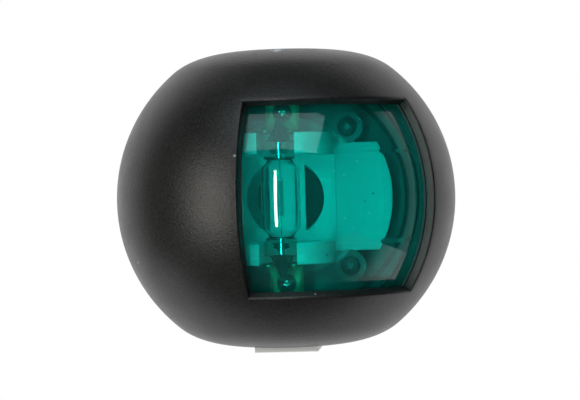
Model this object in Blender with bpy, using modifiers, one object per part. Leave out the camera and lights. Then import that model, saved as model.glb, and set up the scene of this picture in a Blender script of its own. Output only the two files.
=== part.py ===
"""Starboard sidelight for a small boat: a globe cover with a green window over a wall base.

Metres, +Z up. The wall is the plane y = 0 and the light looks along -Y; +X is to its right
as seen from the front. The origin is the centre of the wall face.
"""
import math

import bmesh
import bpy
from mathutils import Vector

# globe cover
GLOBE_RADIUS = 0.046           # about the vertical axis
GLOBE_HALF_HEIGHT = 0.0452     # before the flats are cut
FLAT_HEIGHT = 0.0400           # top and bottom flats, from the middle
FLAT_RADIUS = 0.0080           # where a flat turns into its rounded shoulder
SHOULDER_DROP = 0.0055         # from a flat down to where its shoulder meets the globe
GLOBE_SETBACK = 0.024          # globe axis in front of the wall
COVER_WALL = 0.0022
MOUTH_WALL = 0.0037            # least wall beside the round bore at the back
MOUTH_DEPTH = 0.008            # length of that bore

# window and lens, as seen from the globe axis
WINDOW_LEFT = math.radians(-12.0)
WINDOW_RIGHT = math.radians(62.6)
WINDOW_BELOW_SHOULDER = 0.0087
LENS_MARGIN = math.radians(3.6)
LENS_MARGIN_HEIGHT = 0.0026
LENS_GASKET_THICKNESS = 0.0006
LENS_THICKNESS = 0.0022

# up mark on the top of the cover
MARK_WIDTH = 0.0044
MARK_LENGTH = 0.0080
MARK_HEAD_LENGTH = 0.0036
MARK_STEM_WIDTH = 0.0018
MARK_FRONT = 0.0216            # front tip, from the globe axis
MARK_DEPTH = 0.0006

# base
WALL_GASKET_OVERLAP = 0.0012   # under the back of the cover
WALL_GASKET_THICKNESS = 0.0020
BASE_FLOOR = 0.0030            # thickness
BASE_RIM_WALL = 0.0032
BASE_RIM_HEIGHT = 0.0088       # rim's front edge, from the wall gasket
SEAL_RADIUS = 0.0008           # O-ring section
SEAL_CENTRE = 0.0080           # from the wall
WALL_SCREW_HOLE_RADIUS = 0.00225
WALL_SCREW_EDGE = 0.0053       # hole centre to the inside of the rim

# cable grommet in the middle of the base
GROMMET_RADIUS = 0.0050
GROMMET_FLANGE_RADIUS = 0.0095
GROMMET_FLANGE_THICKNESS = 0.0015
GROMMET_NOSE = 0.0060
GROMMET_BORE = 0.0025
GROMMET_NOSE_WALL = 0.0010
GROMMET_SKIN = 0.0015          # closed end, pierced when the cable is fitted

# lamp, a double-ended festoon
LAMP_FORWARD = 0.0426          # lamp axis in front of the wall
LAMP_HALF_LENGTH = 0.0205
LAMP_GLASS_RADIUS = 0.0051
LAMP_GLASS_WALL = 0.0006
LAMP_NECK_START = 0.0102       # from the middle
LAMP_TUBE_HALF = 0.0068        # straight part of the glass
LAMP_NECK_RADIUS = 0.0034
LAMP_CAP_RADIUS = 0.0042
LAMP_CAP_WALL = 0.0005
LAMP_CAP_START = 0.0102
LAMP_CONE_LENGTH = 0.0055
LAMP_CONE_RADIUS = 0.0034      # widest part of a cap's cone
LAMP_TIP_RADIUS = 0.0010
FILAMENT_STRAIGHT = 0.0049     # where the coil ends, from the middle
FILAMENT_WIRE = 0.00015
FILAMENT_COIL = 0.0009
FILAMENT_TURNS = 5

# lamp carrier
CARRIER_REAR = 0.0246          # rear face of its wall, from the wall
CARRIER_WALL = 0.0024
CARRIER_HALF_WIDTH = 0.0190
CARRIER_OVER_SHELF = 0.0032     # its edge, beyond the inner face of a shelf
CARRIER_HOLE_RADIUS = 0.0105
CARRIER_BAR_HALF = 0.0054      # upright bar across the hole, behind the lamp
SHELF_CLEARANCE = 0.0040       # shelf to lens
SHELF_WEB_HALF_WIDTH = 0.0112
SHELF_PAST_SHOULDER = 0.0018   # its outer face, beyond the shoulder of a lamp cap
SHELF_THICKNESS = 0.0050
SCREW_X = 0.0172               # carrier screws, from the middle
SCREW_ABOVE_CARRIER = 0.0038   # screw centre beyond the carrier's edge
EAR_RADIUS = 0.0042
POST_RADIUS = 0.0034

# reflector panel
PANEL_LEFT = 0.0128
PANEL_RIGHT = 0.0290
PANEL_HALF_HEIGHT = 0.0145
PANEL_THICKNESS = 0.0014

# contact springs
STRIP_THICKNESS = 0.0006
STRIP_HALF_WIDTH = 0.0046
STRIP_PAST_LAMP = 0.0049       # its front end, beyond the lamp axis
STRIP_REAR = 0.0292
TAB_HEIGHT = 0.0095
TAB_SCREW_HEIGHT = 0.0059      # screw centre on the tab
RIVET_BEHIND_LAMP = 0.0091
RIVET_DEPTH = 0.0035

# small screws and rivets
SMALL_HEAD_RADIUS = 0.0026
SMALL_HEAD_HEIGHT = 0.0016
SMALL_SHANK_RADIUS = 0.0013
SMALL_SHANK_LENGTH = 0.0080
TERMINAL_SHANK_LENGTH = 0.0033

# lock tongue, fork and screw at the bottom
TONGUE_HALF_WIDTH = 0.0084
TONGUE_DROP = 0.0010           # below the bottom flat
MOUTH_ABOVE_TONGUE = 0.0002
TONGUE_THICKNESS = 0.0040
TONGUE_FRONT = 0.0380          # from the wall
TONGUE_CHAMFER = 0.0008
TONGUE_SLOPE_END = 0.0110      # its rear end slopes up to the wall from here
FORK_THICKNESS = 0.0020
FORK_HALF_WIDTH = 0.0140
FORK_REAR = 0.0160
FORK_FRONT = 0.0360
ARM_HALF_WIDTH = 0.0070
ARM_THICKNESS = 0.0030
ARM_FRONT = 0.0290
LOCK_FORWARD = 0.0240          # screw axis, from the wall
LOCK_SHANK_RADIUS = 0.0020
LOCK_HEAD_RADIUS = 0.0036
LOCK_HEAD_HEIGHT = 0.0014
LOCK_WASHER_RADIUS = 0.0040
LOCK_WASHER_THICKNESS = 0.0006
INSERT_WALL = 0.0007
LOCK_DRIVE_SLOT = 0.0009
SMALL_DRIVE_SLOT = 0.0006

GAP = 0.0003                   # between pieces that touch
REACH = 0.1                    # longer than any piece, for cutters
STEPS = 56                     # round the globe
SMALL_STEPS = 24               # round small pieces

# worked out from the sizes above
MOUTH_Y = WALL_GASKET_THICKNESS + GAP
SHOULDER_HEIGHT = FLAT_HEIGHT - SHOULDER_DROP
WINDOW_HALF_HEIGHT = SHOULDER_HEIGHT - WINDOW_BELOW_SHOULDER
REAR_OUTLINE = math.sqrt(GLOBE_RADIUS ** 2 - (GLOBE_SETBACK - MOUTH_Y) ** 2)
TONGUE_BOTTOM = FLAT_HEIGHT + TONGUE_DROP
TONGUE_TOP = TONGUE_BOTTOM - TONGUE_THICKNESS
MOUTH_RADIUS = min(REAR_OUTLINE - MOUTH_WALL, TONGUE_TOP - MOUTH_ABOVE_TONGUE)
WALL_GASKET_RADIUS = MOUTH_RADIUS + WALL_GASKET_OVERLAP
SPIGOT_RADIUS = MOUTH_RADIUS - GAP
RIM_INNER = SPIGOT_RADIUS - BASE_RIM_WALL
RIM_FRONT = WALL_GASKET_THICKNESS + BASE_RIM_HEIGHT
FLOOR_FRONT = MOUTH_Y + BASE_FLOOR
WALL_SCREW_HEIGHT = RIM_INNER - WALL_SCREW_EDGE
CARRIER_FRONT = CARRIER_REAR + CARRIER_WALL
LAMP_CAP_SHOULDER = LAMP_HALF_LENGTH - LAMP_CONE_LENGTH
SHELF_OUTER = LAMP_CAP_SHOULDER + SHELF_PAST_SHOULDER
SHELF_INNER = SHELF_OUTER - SHELF_THICKNESS
CARRIER_HALF_HEIGHT = SHELF_INNER + CARRIER_OVER_SHELF
SCREW_Z = CARRIER_HALF_HEIGHT + SCREW_ABOVE_CARRIER
GASKET_INSET = COVER_WALL + GAP
LENS_INSET = GASKET_INSET + LENS_GASKET_THICKNESS + GAP
LENS_BACK = LENS_INSET + LENS_THICKNESS
LENS_SHARE = math.sqrt(1 - (SHELF_OUTER / (GLOBE_HALF_HEIGHT - LENS_BACK)) ** 2)
LENS_BACK_AT_SHELF = GLOBE_SETBACK + (GLOBE_RADIUS - LENS_BACK) * LENS_SHARE
SHELF_RADIUS = LENS_BACK_AT_SHELF - SHELF_CLEARANCE - LAMP_FORWARD
STRIP_INNER = SHELF_OUTER + GAP
STRIP_OUTER = STRIP_INNER + STRIP_THICKNESS
RIVET_FORWARD = LAMP_FORWARD - RIVET_BEHIND_LAMP
FORK_BOTTOM = TONGUE_TOP - GAP
FORK_TOP = FORK_BOTTOM - FORK_THICKNESS
ARM_BOTTOM = FORK_TOP - GAP
ARM_TOP = ARM_BOTTOM - ARM_THICKNESS
COUNTERBORE_FLOOR = TONGUE_BOTTOM - LOCK_HEAD_HEIGHT - LOCK_WASHER_THICKNESS - 2 * GAP
LOCK_HOLE_RADIUS = LOCK_SHANK_RADIUS + GAP
SCREW_HOLE_RADIUS = SMALL_SHANK_RADIUS + GAP
FRONTWARD = (math.radians(90), 0, 0)     # turns local +Z to the front


def clear_scene():
    for old in list(bpy.data.objects):
        bpy.data.objects.remove(old)


def new_collection(name):
    made = bpy.data.collections.new(name)
    bpy.context.scene.collection.children.link(made)
    return made


def material(name, colour, roughness, metallic=0.0, alpha=1.0, transmission=0.0):
    made = bpy.data.materials.new(name)
    made.use_nodes = True
    shader = made.node_tree.nodes["Principled BSDF"]
    shader.inputs["Base Color"].default_value = (*colour, 1.0)
    shader.inputs["Roughness"].default_value = roughness
    shader.inputs["Metallic"].default_value = metallic
    shader.inputs["Alpha"].default_value = alpha
    shader.inputs["Transmission Weight"].default_value = transmission
    return made


clear_scene()
PARTS = new_collection("navigation_light")
CUTTERS = new_collection("cutters")

BLACK_PLASTIC = material("black_plastic", (0.02, 0.02, 0.02), 0.5)
WHITE_PLASTIC = material("white_plastic", (0.80, 0.80, 0.77), 0.4)
GREEN_LENS = material("green_lens", (0.0, 0.42, 0.33), 0.05, alpha=0.5, transmission=0.8)
CLEAR_GLASS = material("clear_glass", (0.95, 0.97, 0.97), 0.02, alpha=0.35, transmission=1.0)
BLACK_RUBBER = material("black_rubber", (0.03, 0.03, 0.03), 0.8)
STEEL = material("stainless_steel", (0.62, 0.61, 0.59), 0.3, metallic=1.0)
NICKEL = material("nickel_plate", (0.72, 0.70, 0.66), 0.2, metallic=1.0)
BRASS = material("brass", (0.78, 0.57, 0.25), 0.3, metallic=1.0)
TUNGSTEN = material("tungsten", (0.30, 0.29, 0.28), 0.4, metallic=1.0)
MARK_PAINT = material("mark_paint", (0.75, 0.78, 0.82), 0.5)


def add_object(name, mesh, surface=None):
    """Puts a mesh in the parts, or in the cutters when it has no surface."""
    made = bpy.data.objects.new(name, mesh)
    if surface:
        PARTS.objects.link(made)
        mesh.materials.append(surface)
    else:
        CUTTERS.objects.link(made)
        made.hide_render = True
        made.display_type = "WIRE"
    return made


def mesh_from(bm, name):
    mesh = bpy.data.meshes.new(name)
    bm.to_mesh(mesh)
    bm.free()
    return mesh


def box(name, low, high, surface=None):
    """A box between two corners, each (x, distance in front of the wall, z)."""
    bm = bmesh.new()
    bmesh.ops.create_cube(bm, size=1.0)
    first = (low[0], -high[1], low[2])
    last = (high[0], -low[1], high[2])
    for vert in bm.verts:
        vert.co = [first[i] + (last[i] - first[i]) * (vert.co[i] + 0.5) for i in range(3)]
    return add_object(name, mesh_from(bm, name), surface)


def cylinder(name, radius, start, end, surface=None, steps=SMALL_STEPS):
    """A round bar between two points, each (x, distance in front of the wall, z)."""
    first = Vector((start[0], -start[1], start[2]))
    last = Vector((end[0], -end[1], end[2]))
    along = last - first
    bm = bmesh.new()
    bmesh.ops.create_cone(bm, cap_ends=True, segments=steps, radius1=radius, radius2=radius,
                          depth=along.length)
    made = add_object(name, mesh_from(bm, name), surface)
    made.location = (first + last) / 2
    made.rotation_euler = along.to_track_quat("Z", "Y").to_euler()
    return made


def lathe(name, profile, surface=None, steps=SMALL_STEPS, turn=(0, 0, 0), place=(0, 0, 0), closed=False):
    """Turns a profile of (radius, height) points, listed down its outer side."""
    mesh = bpy.data.meshes.new(name)
    edges = [(i, i + 1) for i in range(len(profile) - 1)]
    if closed:
        edges.append((len(profile) - 1, 0))
    mesh.from_pydata([(radius, 0, height) for radius, height in profile], edges, [])
    made = add_object(name, mesh, surface)
    screw = made.modifiers.new("turned", "SCREW")
    screw.angle = math.tau
    screw.steps = steps
    screw.render_steps = steps
    screw.use_merge_vertices = True
    screw.merge_threshold = 0.00001
    made.rotation_euler = turn
    made.location = place
    return made


def cut(target, *cutters, operation="DIFFERENCE"):
    for cutter in cutters:
        step = target.modifiers.new(cutter.name, "BOOLEAN")
        step.operation = operation
        step.object = cutter


def join(target, *others):
    cut(target, *others, operation="UNION")


def globe_profile(inset, points, shoulder_points=4):
    """The side of the globe from its top flat to its bottom flat, moved in by inset."""
    radius = GLOBE_RADIUS - inset
    half_height = GLOBE_HALF_HEIGHT - inset
    flat = FLAT_HEIGHT - inset
    start = SHOULDER_HEIGHT - inset
    turn = math.asin(start / half_height)
    side = []
    for i in range(points + 1):
        angle = turn - 2 * turn * i / points
        side.append((radius * math.cos(angle), half_height * math.sin(angle)))
    slope = half_height * math.cos(turn) / (radius * math.sin(turn))
    corner = side[0][0] - (flat - start) / slope     # where the side's tangent meets the flat
    edge = min(FLAT_RADIUS, corner / 2)
    top = [(0, flat)]
    for i in range(shoulder_points):
        t = i / shoulder_points
        across = (1 - t) ** 2 * edge + 2 * t * (1 - t) * corner + t ** 2 * side[0][0]
        up = (1 - t ** 2) * flat + t ** 2 * start
        top.append((across, up))
    return top + side + [(across, -up) for across, up in reversed(top)]


def globe(name, inset, points, surface=None, steps=STEPS):
    return lathe(name, globe_profile(inset, points), surface, steps, place=(0, -GLOBE_SETBACK, 0))


def globe_patch(name, inset, depth, left, right, half_height, surface=None, columns=18, rows=10):
    """A panel that follows the globe: its outer face is inset from the globe, and it is depth thick."""
    bm = bmesh.new()
    bmesh.ops.create_grid(bm, x_segments=columns, y_segments=rows, size=0.5)
    radius = GLOBE_RADIUS - inset
    tall = GLOBE_HALF_HEIGHT - inset
    for vert in bm.verts:
        turn = left + (right - left) * (vert.co.x + 0.5)
        height = 2 * half_height * vert.co.y
        ring = radius * math.sqrt(1 - (height / tall) ** 2)
        vert.co = (ring * math.sin(turn), -GLOBE_SETBACK - ring * math.cos(turn), height)
    mesh = bpy.data.meshes.new(name)
    bm.to_mesh(mesh)
    bm.free()
    made = add_object(name, mesh, surface)
    shell = made.modifiers.new("thickness", "SOLIDIFY")
    shell.thickness = depth
    shell.offset = -1.0
    return made


def outline_plate(name, points, bottom, top, surface=None):
    """A plate with a flat outline of (x, distance in front of the wall) points, between two heights."""
    bm = bmesh.new()
    verts = [bm.verts.new((x, -front, bottom)) for x, front in points]
    face = bm.faces.new(verts)
    lifted = bmesh.ops.extrude_face_region(bm, geom=[face], use_keep_orig=True)
    for part in lifted["geom"]:
        if isinstance(part, bmesh.types.BMVert):
            part.co.z = top
    bmesh.ops.recalc_face_normals(bm, faces=bm.faces[:])
    return add_object(name, mesh_from(bm, name), surface)


def side_plate(name, points, half_width, surface=None):
    """A plate with a side outline of (distance in front of the wall, height) points, centred on x = 0."""
    bm = bmesh.new()
    verts = [bm.verts.new((-half_width, -front, height)) for front, height in points]
    face = bm.faces.new(verts)
    lifted = bmesh.ops.extrude_face_region(bm, geom=[face], use_keep_orig=True)
    for part in lifted["geom"]:
        if isinstance(part, bmesh.types.BMVert):
            part.co.x = half_width
    bmesh.ops.recalc_face_normals(bm, faces=bm.faces[:])
    return add_object(name, mesh_from(bm, name), surface)


def build_cover():
    """The black shell: the globe, hollowed, with its mouth, window, fork and tongue notch."""
    shell = globe("cover_shell", 0, 22, BLACK_PLASTIC)
    hollow = globe("cover_hollow", COVER_WALL, 14, steps=40)
    mouth_end = MOUTH_Y + MOUTH_DEPTH
    cut(hollow, box("hollow_end", (-REACH, -REACH, -REACH), (REACH, mouth_end, REACH)))
    mouth = cylinder("cover_mouth", MOUTH_RADIUS, (0, -REACH, 0), (0, mouth_end + COVER_WALL, 0), steps=STEPS)
    back = box("cover_back", (-REACH, -REACH, -REACH), (REACH, MOUTH_Y, REACH))
    window = globe_patch("window_cut", -COVER_WALL, 4 * COVER_WALL, WINDOW_LEFT, WINDOW_RIGHT,
                         WINDOW_HALF_HEIGHT)

    slot_half = TONGUE_HALF_WIDTH + GAP
    fork = box("fork", (-FORK_HALF_WIDTH, FORK_REAR, -FLAT_HEIGHT + COVER_WALL / 2),
               (FORK_HALF_WIDTH, FORK_FRONT, -FORK_TOP))
    slot = box("tongue_slot", (-slot_half, -REACH, -REACH), (slot_half, TONGUE_FRONT + GAP, -FORK_BOTTOM))
    notch = box("rear_notch", (-slot_half, -REACH, -REACH), (slot_half, FORK_REAR, -ARM_TOP + GAP))
    slit = LOCK_HOLE_RADIUS
    below = -FORK_BOTTOM - ARM_THICKNESS
    above = -FORK_TOP + ARM_THICKNESS
    fork_slit = box("fork_slit", (-slit, 0, below), (slit, LOCK_FORWARD, above))
    fork_eye = cylinder("fork_eye", slit, (0, LOCK_FORWARD, below), (0, LOCK_FORWARD, above))
    cut(shell, back, hollow, mouth, window)
    join(shell, fork)
    cut(shell, slot, notch, fork_slit, fork_eye, mark_body("mark_recess", GAP, 2 * GAP))
    return shell


def mark_body(name, side, deep, surface=None):
    """The up arrow: its outline, cut to a thin layer that follows the top of the globe."""
    half = MARK_WIDTH / 2 + side
    tip = MARK_FRONT + side
    rear = MARK_FRONT - MARK_LENGTH - side
    shoulder = MARK_FRONT - MARK_HEAD_LENGTH - side
    stem = MARK_STEM_WIDTH / 2 + side
    outline = [(-stem, rear), (stem, rear), (stem, shoulder), (half, shoulder), (0, tip), (-half, shoulder),
               (-stem, shoulder)]
    points = [(x, GLOBE_SETBACK + front) for x, front in outline]
    arrow = outline_plate(name, points, GLOBE_HALF_HEIGHT / 2, GLOBE_HALF_HEIGHT * 1.2, surface)
    if surface:
        skin = globe(name + "_skin", 0, 22)
        cut(arrow, skin, operation="INTERSECT")
    cut(arrow, globe(name + "_floor", MARK_DEPTH + deep, 22))
    return arrow


def build_lens():
    left = WINDOW_LEFT - LENS_MARGIN
    right = WINDOW_RIGHT + LENS_MARGIN
    tall = WINDOW_HALF_HEIGHT + LENS_MARGIN_HEIGHT
    gasket = globe_patch("lens_gasket", GASKET_INSET, LENS_GASKET_THICKNESS, left, right, tall, BLACK_RUBBER)
    cut(gasket, globe_patch("gasket_cut", -COVER_WALL, 4 * COVER_WALL, WINDOW_LEFT, WINDOW_RIGHT,
                            WINDOW_HALF_HEIGHT))
    globe_patch("lens", LENS_INSET, LENS_THICKNESS, left, right, tall, GREEN_LENS, columns=20, rows=12)


def screw_places():
    return [(side * SCREW_X, level * SCREW_Z) for level in (1, -1) for side in (-1, 1)]


def build_base():
    """The white back plate: floor, rim with its seal groove, posts, lock tongue and nut arm."""
    groove_floor = MOUTH_RADIUS - GAP - 2 * SEAL_RADIUS - GAP
    groove_half = SEAL_RADIUS + GAP
    profile = [
        (0, FLOOR_FRONT), (RIM_INNER, FLOOR_FRONT), (RIM_INNER, RIM_FRONT), (SPIGOT_RADIUS, RIM_FRONT),
        (SPIGOT_RADIUS, SEAL_CENTRE + groove_half), (groove_floor, SEAL_CENTRE + groove_half),
        (groove_floor, SEAL_CENTRE - groove_half), (SPIGOT_RADIUS, SEAL_CENTRE - groove_half),
        (SPIGOT_RADIUS, MOUTH_Y), (0, MOUTH_Y),
    ]
    base = lathe("base_plate", profile, WHITE_PLASTIC, steps=48, turn=FRONTWARD)
    root_front = SEAL_CENTRE - groove_half
    tongue = side_plate("tongue", [
        (MOUTH_Y, -RIM_INNER), (root_front, -RIM_INNER), (root_front, -TONGUE_TOP),
        (TONGUE_FRONT, -TONGUE_TOP),
        (TONGUE_FRONT, -TONGUE_BOTTOM + TONGUE_CHAMFER), (TONGUE_FRONT - TONGUE_CHAMFER, -TONGUE_BOTTOM),
        (TONGUE_SLOPE_END, -TONGUE_BOTTOM), (MOUTH_Y, -TONGUE_TOP),
    ], TONGUE_HALF_WIDTH)
    arm = box("nut_arm", (-ARM_HALF_WIDTH, RIM_FRONT - BASE_RIM_WALL / 2, -ARM_BOTTOM),
              (ARM_HALF_WIDTH, ARM_FRONT, -ARM_TOP))
    join(base, tongue, arm)
    for number, (x, z) in enumerate(screw_places(), 1):
        join(base, cylinder(f"post_{number}", POST_RADIUS, (x, FLOOR_FRONT - BASE_FLOOR / 2, z),
                            (x, CARRIER_REAR - GAP, z), steps=20))
    for number, (x, z) in enumerate(screw_places(), 1):
        depth = CARRIER_FRONT + GAP - SMALL_SHANK_LENGTH - GAP
        cut(base, cylinder(f"pilot_{number}", SCREW_HOLE_RADIUS, (x, depth, z), (x, REACH, z), steps=16))
    for number, level in enumerate((1, -1), 1):
        z = level * WALL_SCREW_HEIGHT
        cut(base, cylinder(f"wall_hole_{number}", WALL_SCREW_HOLE_RADIUS, (0, -REACH, z),
                           (0, FLOOR_FRONT * 2, z), steps=20))
    cut(base, cylinder("grommet_hole", GROMMET_RADIUS + GAP, (0, -REACH, 0), (0, FLOOR_FRONT * 2, 0)))
    insert_hole = LOCK_HOLE_RADIUS + INSERT_WALL + GAP
    cut(base, cylinder("insert_hole", insert_hole, (0, LOCK_FORWARD, -ARM_BOTTOM - GAP),
                       (0, LOCK_FORWARD, -ARM_TOP + GAP)))
    cut(base, cylinder("tongue_hole", LOCK_HOLE_RADIUS, (0, LOCK_FORWARD, -REACH),
                       (0, LOCK_FORWARD, -TONGUE_TOP + GAP)))
    cut(base, cylinder("tongue_counterbore", LOCK_WASHER_RADIUS + GAP, (0, LOCK_FORWARD, -REACH),
                       (0, LOCK_FORWARD, -COUNTERBORE_FLOOR)))
    return base


def build_base_seals():
    pad_profile = [(0, WALL_GASKET_THICKNESS), (WALL_GASKET_RADIUS, WALL_GASKET_THICKNESS),
                   (WALL_GASKET_RADIUS, 0), (0, 0)]
    pad = lathe("wall_gasket", pad_profile, BLACK_RUBBER, steps=48, turn=FRONTWARD)
    for number, level in enumerate((1, -1), 1):
        z = level * WALL_SCREW_HEIGHT
        cut(pad, cylinder(f"pad_hole_{number}", WALL_SCREW_HOLE_RADIUS, (0, -REACH, z), (0, REACH, z),
                          steps=20))
    cut(pad, cylinder("pad_centre", GROMMET_RADIUS + GAP, (0, -REACH, 0), (0, REACH, 0)))
    ring = MOUTH_RADIUS - GAP - SEAL_RADIUS
    section = 8
    circle = [(ring + SEAL_RADIUS * math.cos(-math.tau * i / section),
               SEAL_CENTRE + SEAL_RADIUS * math.sin(-math.tau * i / section)) for i in range(section)]
    lathe("cover_seal", circle, BLACK_RUBBER, steps=40, turn=FRONTWARD, closed=True)
    flange_rear = FLOOR_FRONT + GAP
    flange_front = flange_rear + GROMMET_FLANGE_THICKNESS
    nose = flange_front + GROMMET_NOSE
    profile = [
        (0, GROMMET_SKIN), (GROMMET_BORE, GROMMET_SKIN), (GROMMET_BORE, nose),
        (GROMMET_BORE + GROMMET_NOSE_WALL, nose),
        (GROMMET_RADIUS, flange_front), (GROMMET_FLANGE_RADIUS, flange_front),
        (GROMMET_FLANGE_RADIUS, flange_rear), (GROMMET_RADIUS, flange_rear), (GROMMET_RADIUS, 0), (0, 0),
    ]
    lathe("cable_grommet", profile, BLACK_RUBBER, turn=FRONTWARD)


def build_carrier():
    """The white carrier: a wall on four ears, with two round shelves that hold the lamp."""
    carrier = box("lamp_carrier", (-CARRIER_HALF_WIDTH, CARRIER_REAR, -CARRIER_HALF_HEIGHT),
                  (CARRIER_HALF_WIDTH, CARRIER_FRONT, CARRIER_HALF_HEIGHT), WHITE_PLASTIC)
    for number, (x, z) in enumerate(screw_places(), 1):
        ear = cylinder(f"ear_{number}", EAR_RADIUS, (x, CARRIER_REAR, z), (x, CARRIER_FRONT, z), steps=20)
        join(carrier, ear)
    for side, level in (("upper", 1), ("lower", -1)):
        inner = level * SHELF_INNER
        outer = level * SHELF_OUTER
        low, high = sorted((inner, outer))
        web = box(f"web_{side}", (-SHELF_WEB_HALF_WIDTH, CARRIER_REAR + CARRIER_WALL / 2, low),
                  (SHELF_WEB_HALF_WIDTH, LAMP_FORWARD, high))
        disc = cylinder(f"disc_{side}", SHELF_RADIUS, (0, LAMP_FORWARD, low), (0, LAMP_FORWARD, high),
                        steps=36)
        join(carrier, web, disc)
    slot = LAMP_CAP_RADIUS + 2 * GAP
    cut(carrier, box("lamp_slot", (-slot, LAMP_FORWARD, -REACH), (slot, REACH, REACH)))
    cut(carrier, cylinder("lamp_round", slot, (0, LAMP_FORWARD, -REACH), (0, LAMP_FORWARD, REACH)))
    hole = cylinder("carrier_hole", CARRIER_HOLE_RADIUS, (0, 0, 0), (0, CARRIER_FRONT + GAP, 0), steps=32)
    cut(hole, box("carrier_bar", (-CARRIER_BAR_HALF, -REACH, -REACH), (CARRIER_BAR_HALF, REACH, REACH)))
    cut(carrier, hole)
    for number, (x, z) in enumerate(screw_places(), 1):
        cut(carrier, cylinder(f"ear_hole_{number}", SCREW_HOLE_RADIUS, (x, 0, z), (x, REACH, z), steps=16))
        cut(carrier, cylinder(f"driver_way_{number}", SMALL_HEAD_RADIUS + GAP, (x, CARRIER_FRONT + GAP / 2, z),
                              (x, REACH, z), steps=20))
    for level in (1, -1):
        high = STRIP_INNER
        low = SHELF_OUTER - RIVET_DEPTH
        hole = cylinder(f"rivet_hole_{level}", SCREW_HOLE_RADIUS, (0, RIVET_FORWARD, level * low),
                        (0, RIVET_FORWARD, level * high), steps=16)
        cut(carrier, hole)
    return carrier


def build_reflector():
    """The white panel beside the lamp: straight on its left, round on its right."""
    rear = CARRIER_FRONT + GAP
    front = rear + PANEL_THICKNESS
    panel = box("reflector_panel", (PANEL_LEFT, rear, -PANEL_HALF_HEIGHT),
                (PANEL_RIGHT, front, PANEL_HALF_HEIGHT), WHITE_PLASTIC)
    edge = cylinder("panel_edge", PANEL_RIGHT, (0, 0, 0), (0, REACH, 0), steps=STEPS)
    cut(panel, edge, operation="INTERSECT")
    for number, level in enumerate((1, -1), 1):
        z = level * SCREW_Z
        cut(panel, cylinder(f"panel_relief_{number}", EAR_RADIUS + GAP, (SCREW_X, 0, z), (SCREW_X, REACH, z),
                            steps=20))
        cut(panel, cylinder(f"panel_clear_{number}", SHELF_RADIUS + GAP,
                            (0, LAMP_FORWARD, level * (SHELF_INNER - GAP)),
                            (0, LAMP_FORWARD, level * (SHELF_OUTER + GAP)), steps=36))


def build_carrier_screws():
    for number, (x, z) in enumerate(screw_places(), 1):
        under = CARRIER_FRONT + GAP
        profile = [
            (0, under + SMALL_HEAD_HEIGHT), (SMALL_HEAD_RADIUS * 0.7, under + SMALL_HEAD_HEIGHT),
            (SMALL_HEAD_RADIUS, under + SMALL_HEAD_HEIGHT * 0.5), (SMALL_HEAD_RADIUS, under),
            (SMALL_SHANK_RADIUS, under), (SMALL_SHANK_RADIUS, under - SMALL_SHANK_LENGTH + GAP),
            (0, under - SMALL_SHANK_LENGTH),
        ]
        screw = lathe(f"carrier_screw_{number}", profile, STEEL, steps=16, turn=FRONTWARD, place=(x, 0, z))
        slot_low = under + SMALL_HEAD_HEIGHT / 2
        slot_high = under + SMALL_HEAD_HEIGHT * 2
        half = SMALL_DRIVE_SLOT / 2
        slot = box(f"slot_{number}", (x - SMALL_HEAD_RADIUS * 2, slot_low, z - half),
                   (x + SMALL_HEAD_RADIUS * 2, slot_high, z + half))
        cut(screw, slot)


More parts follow.
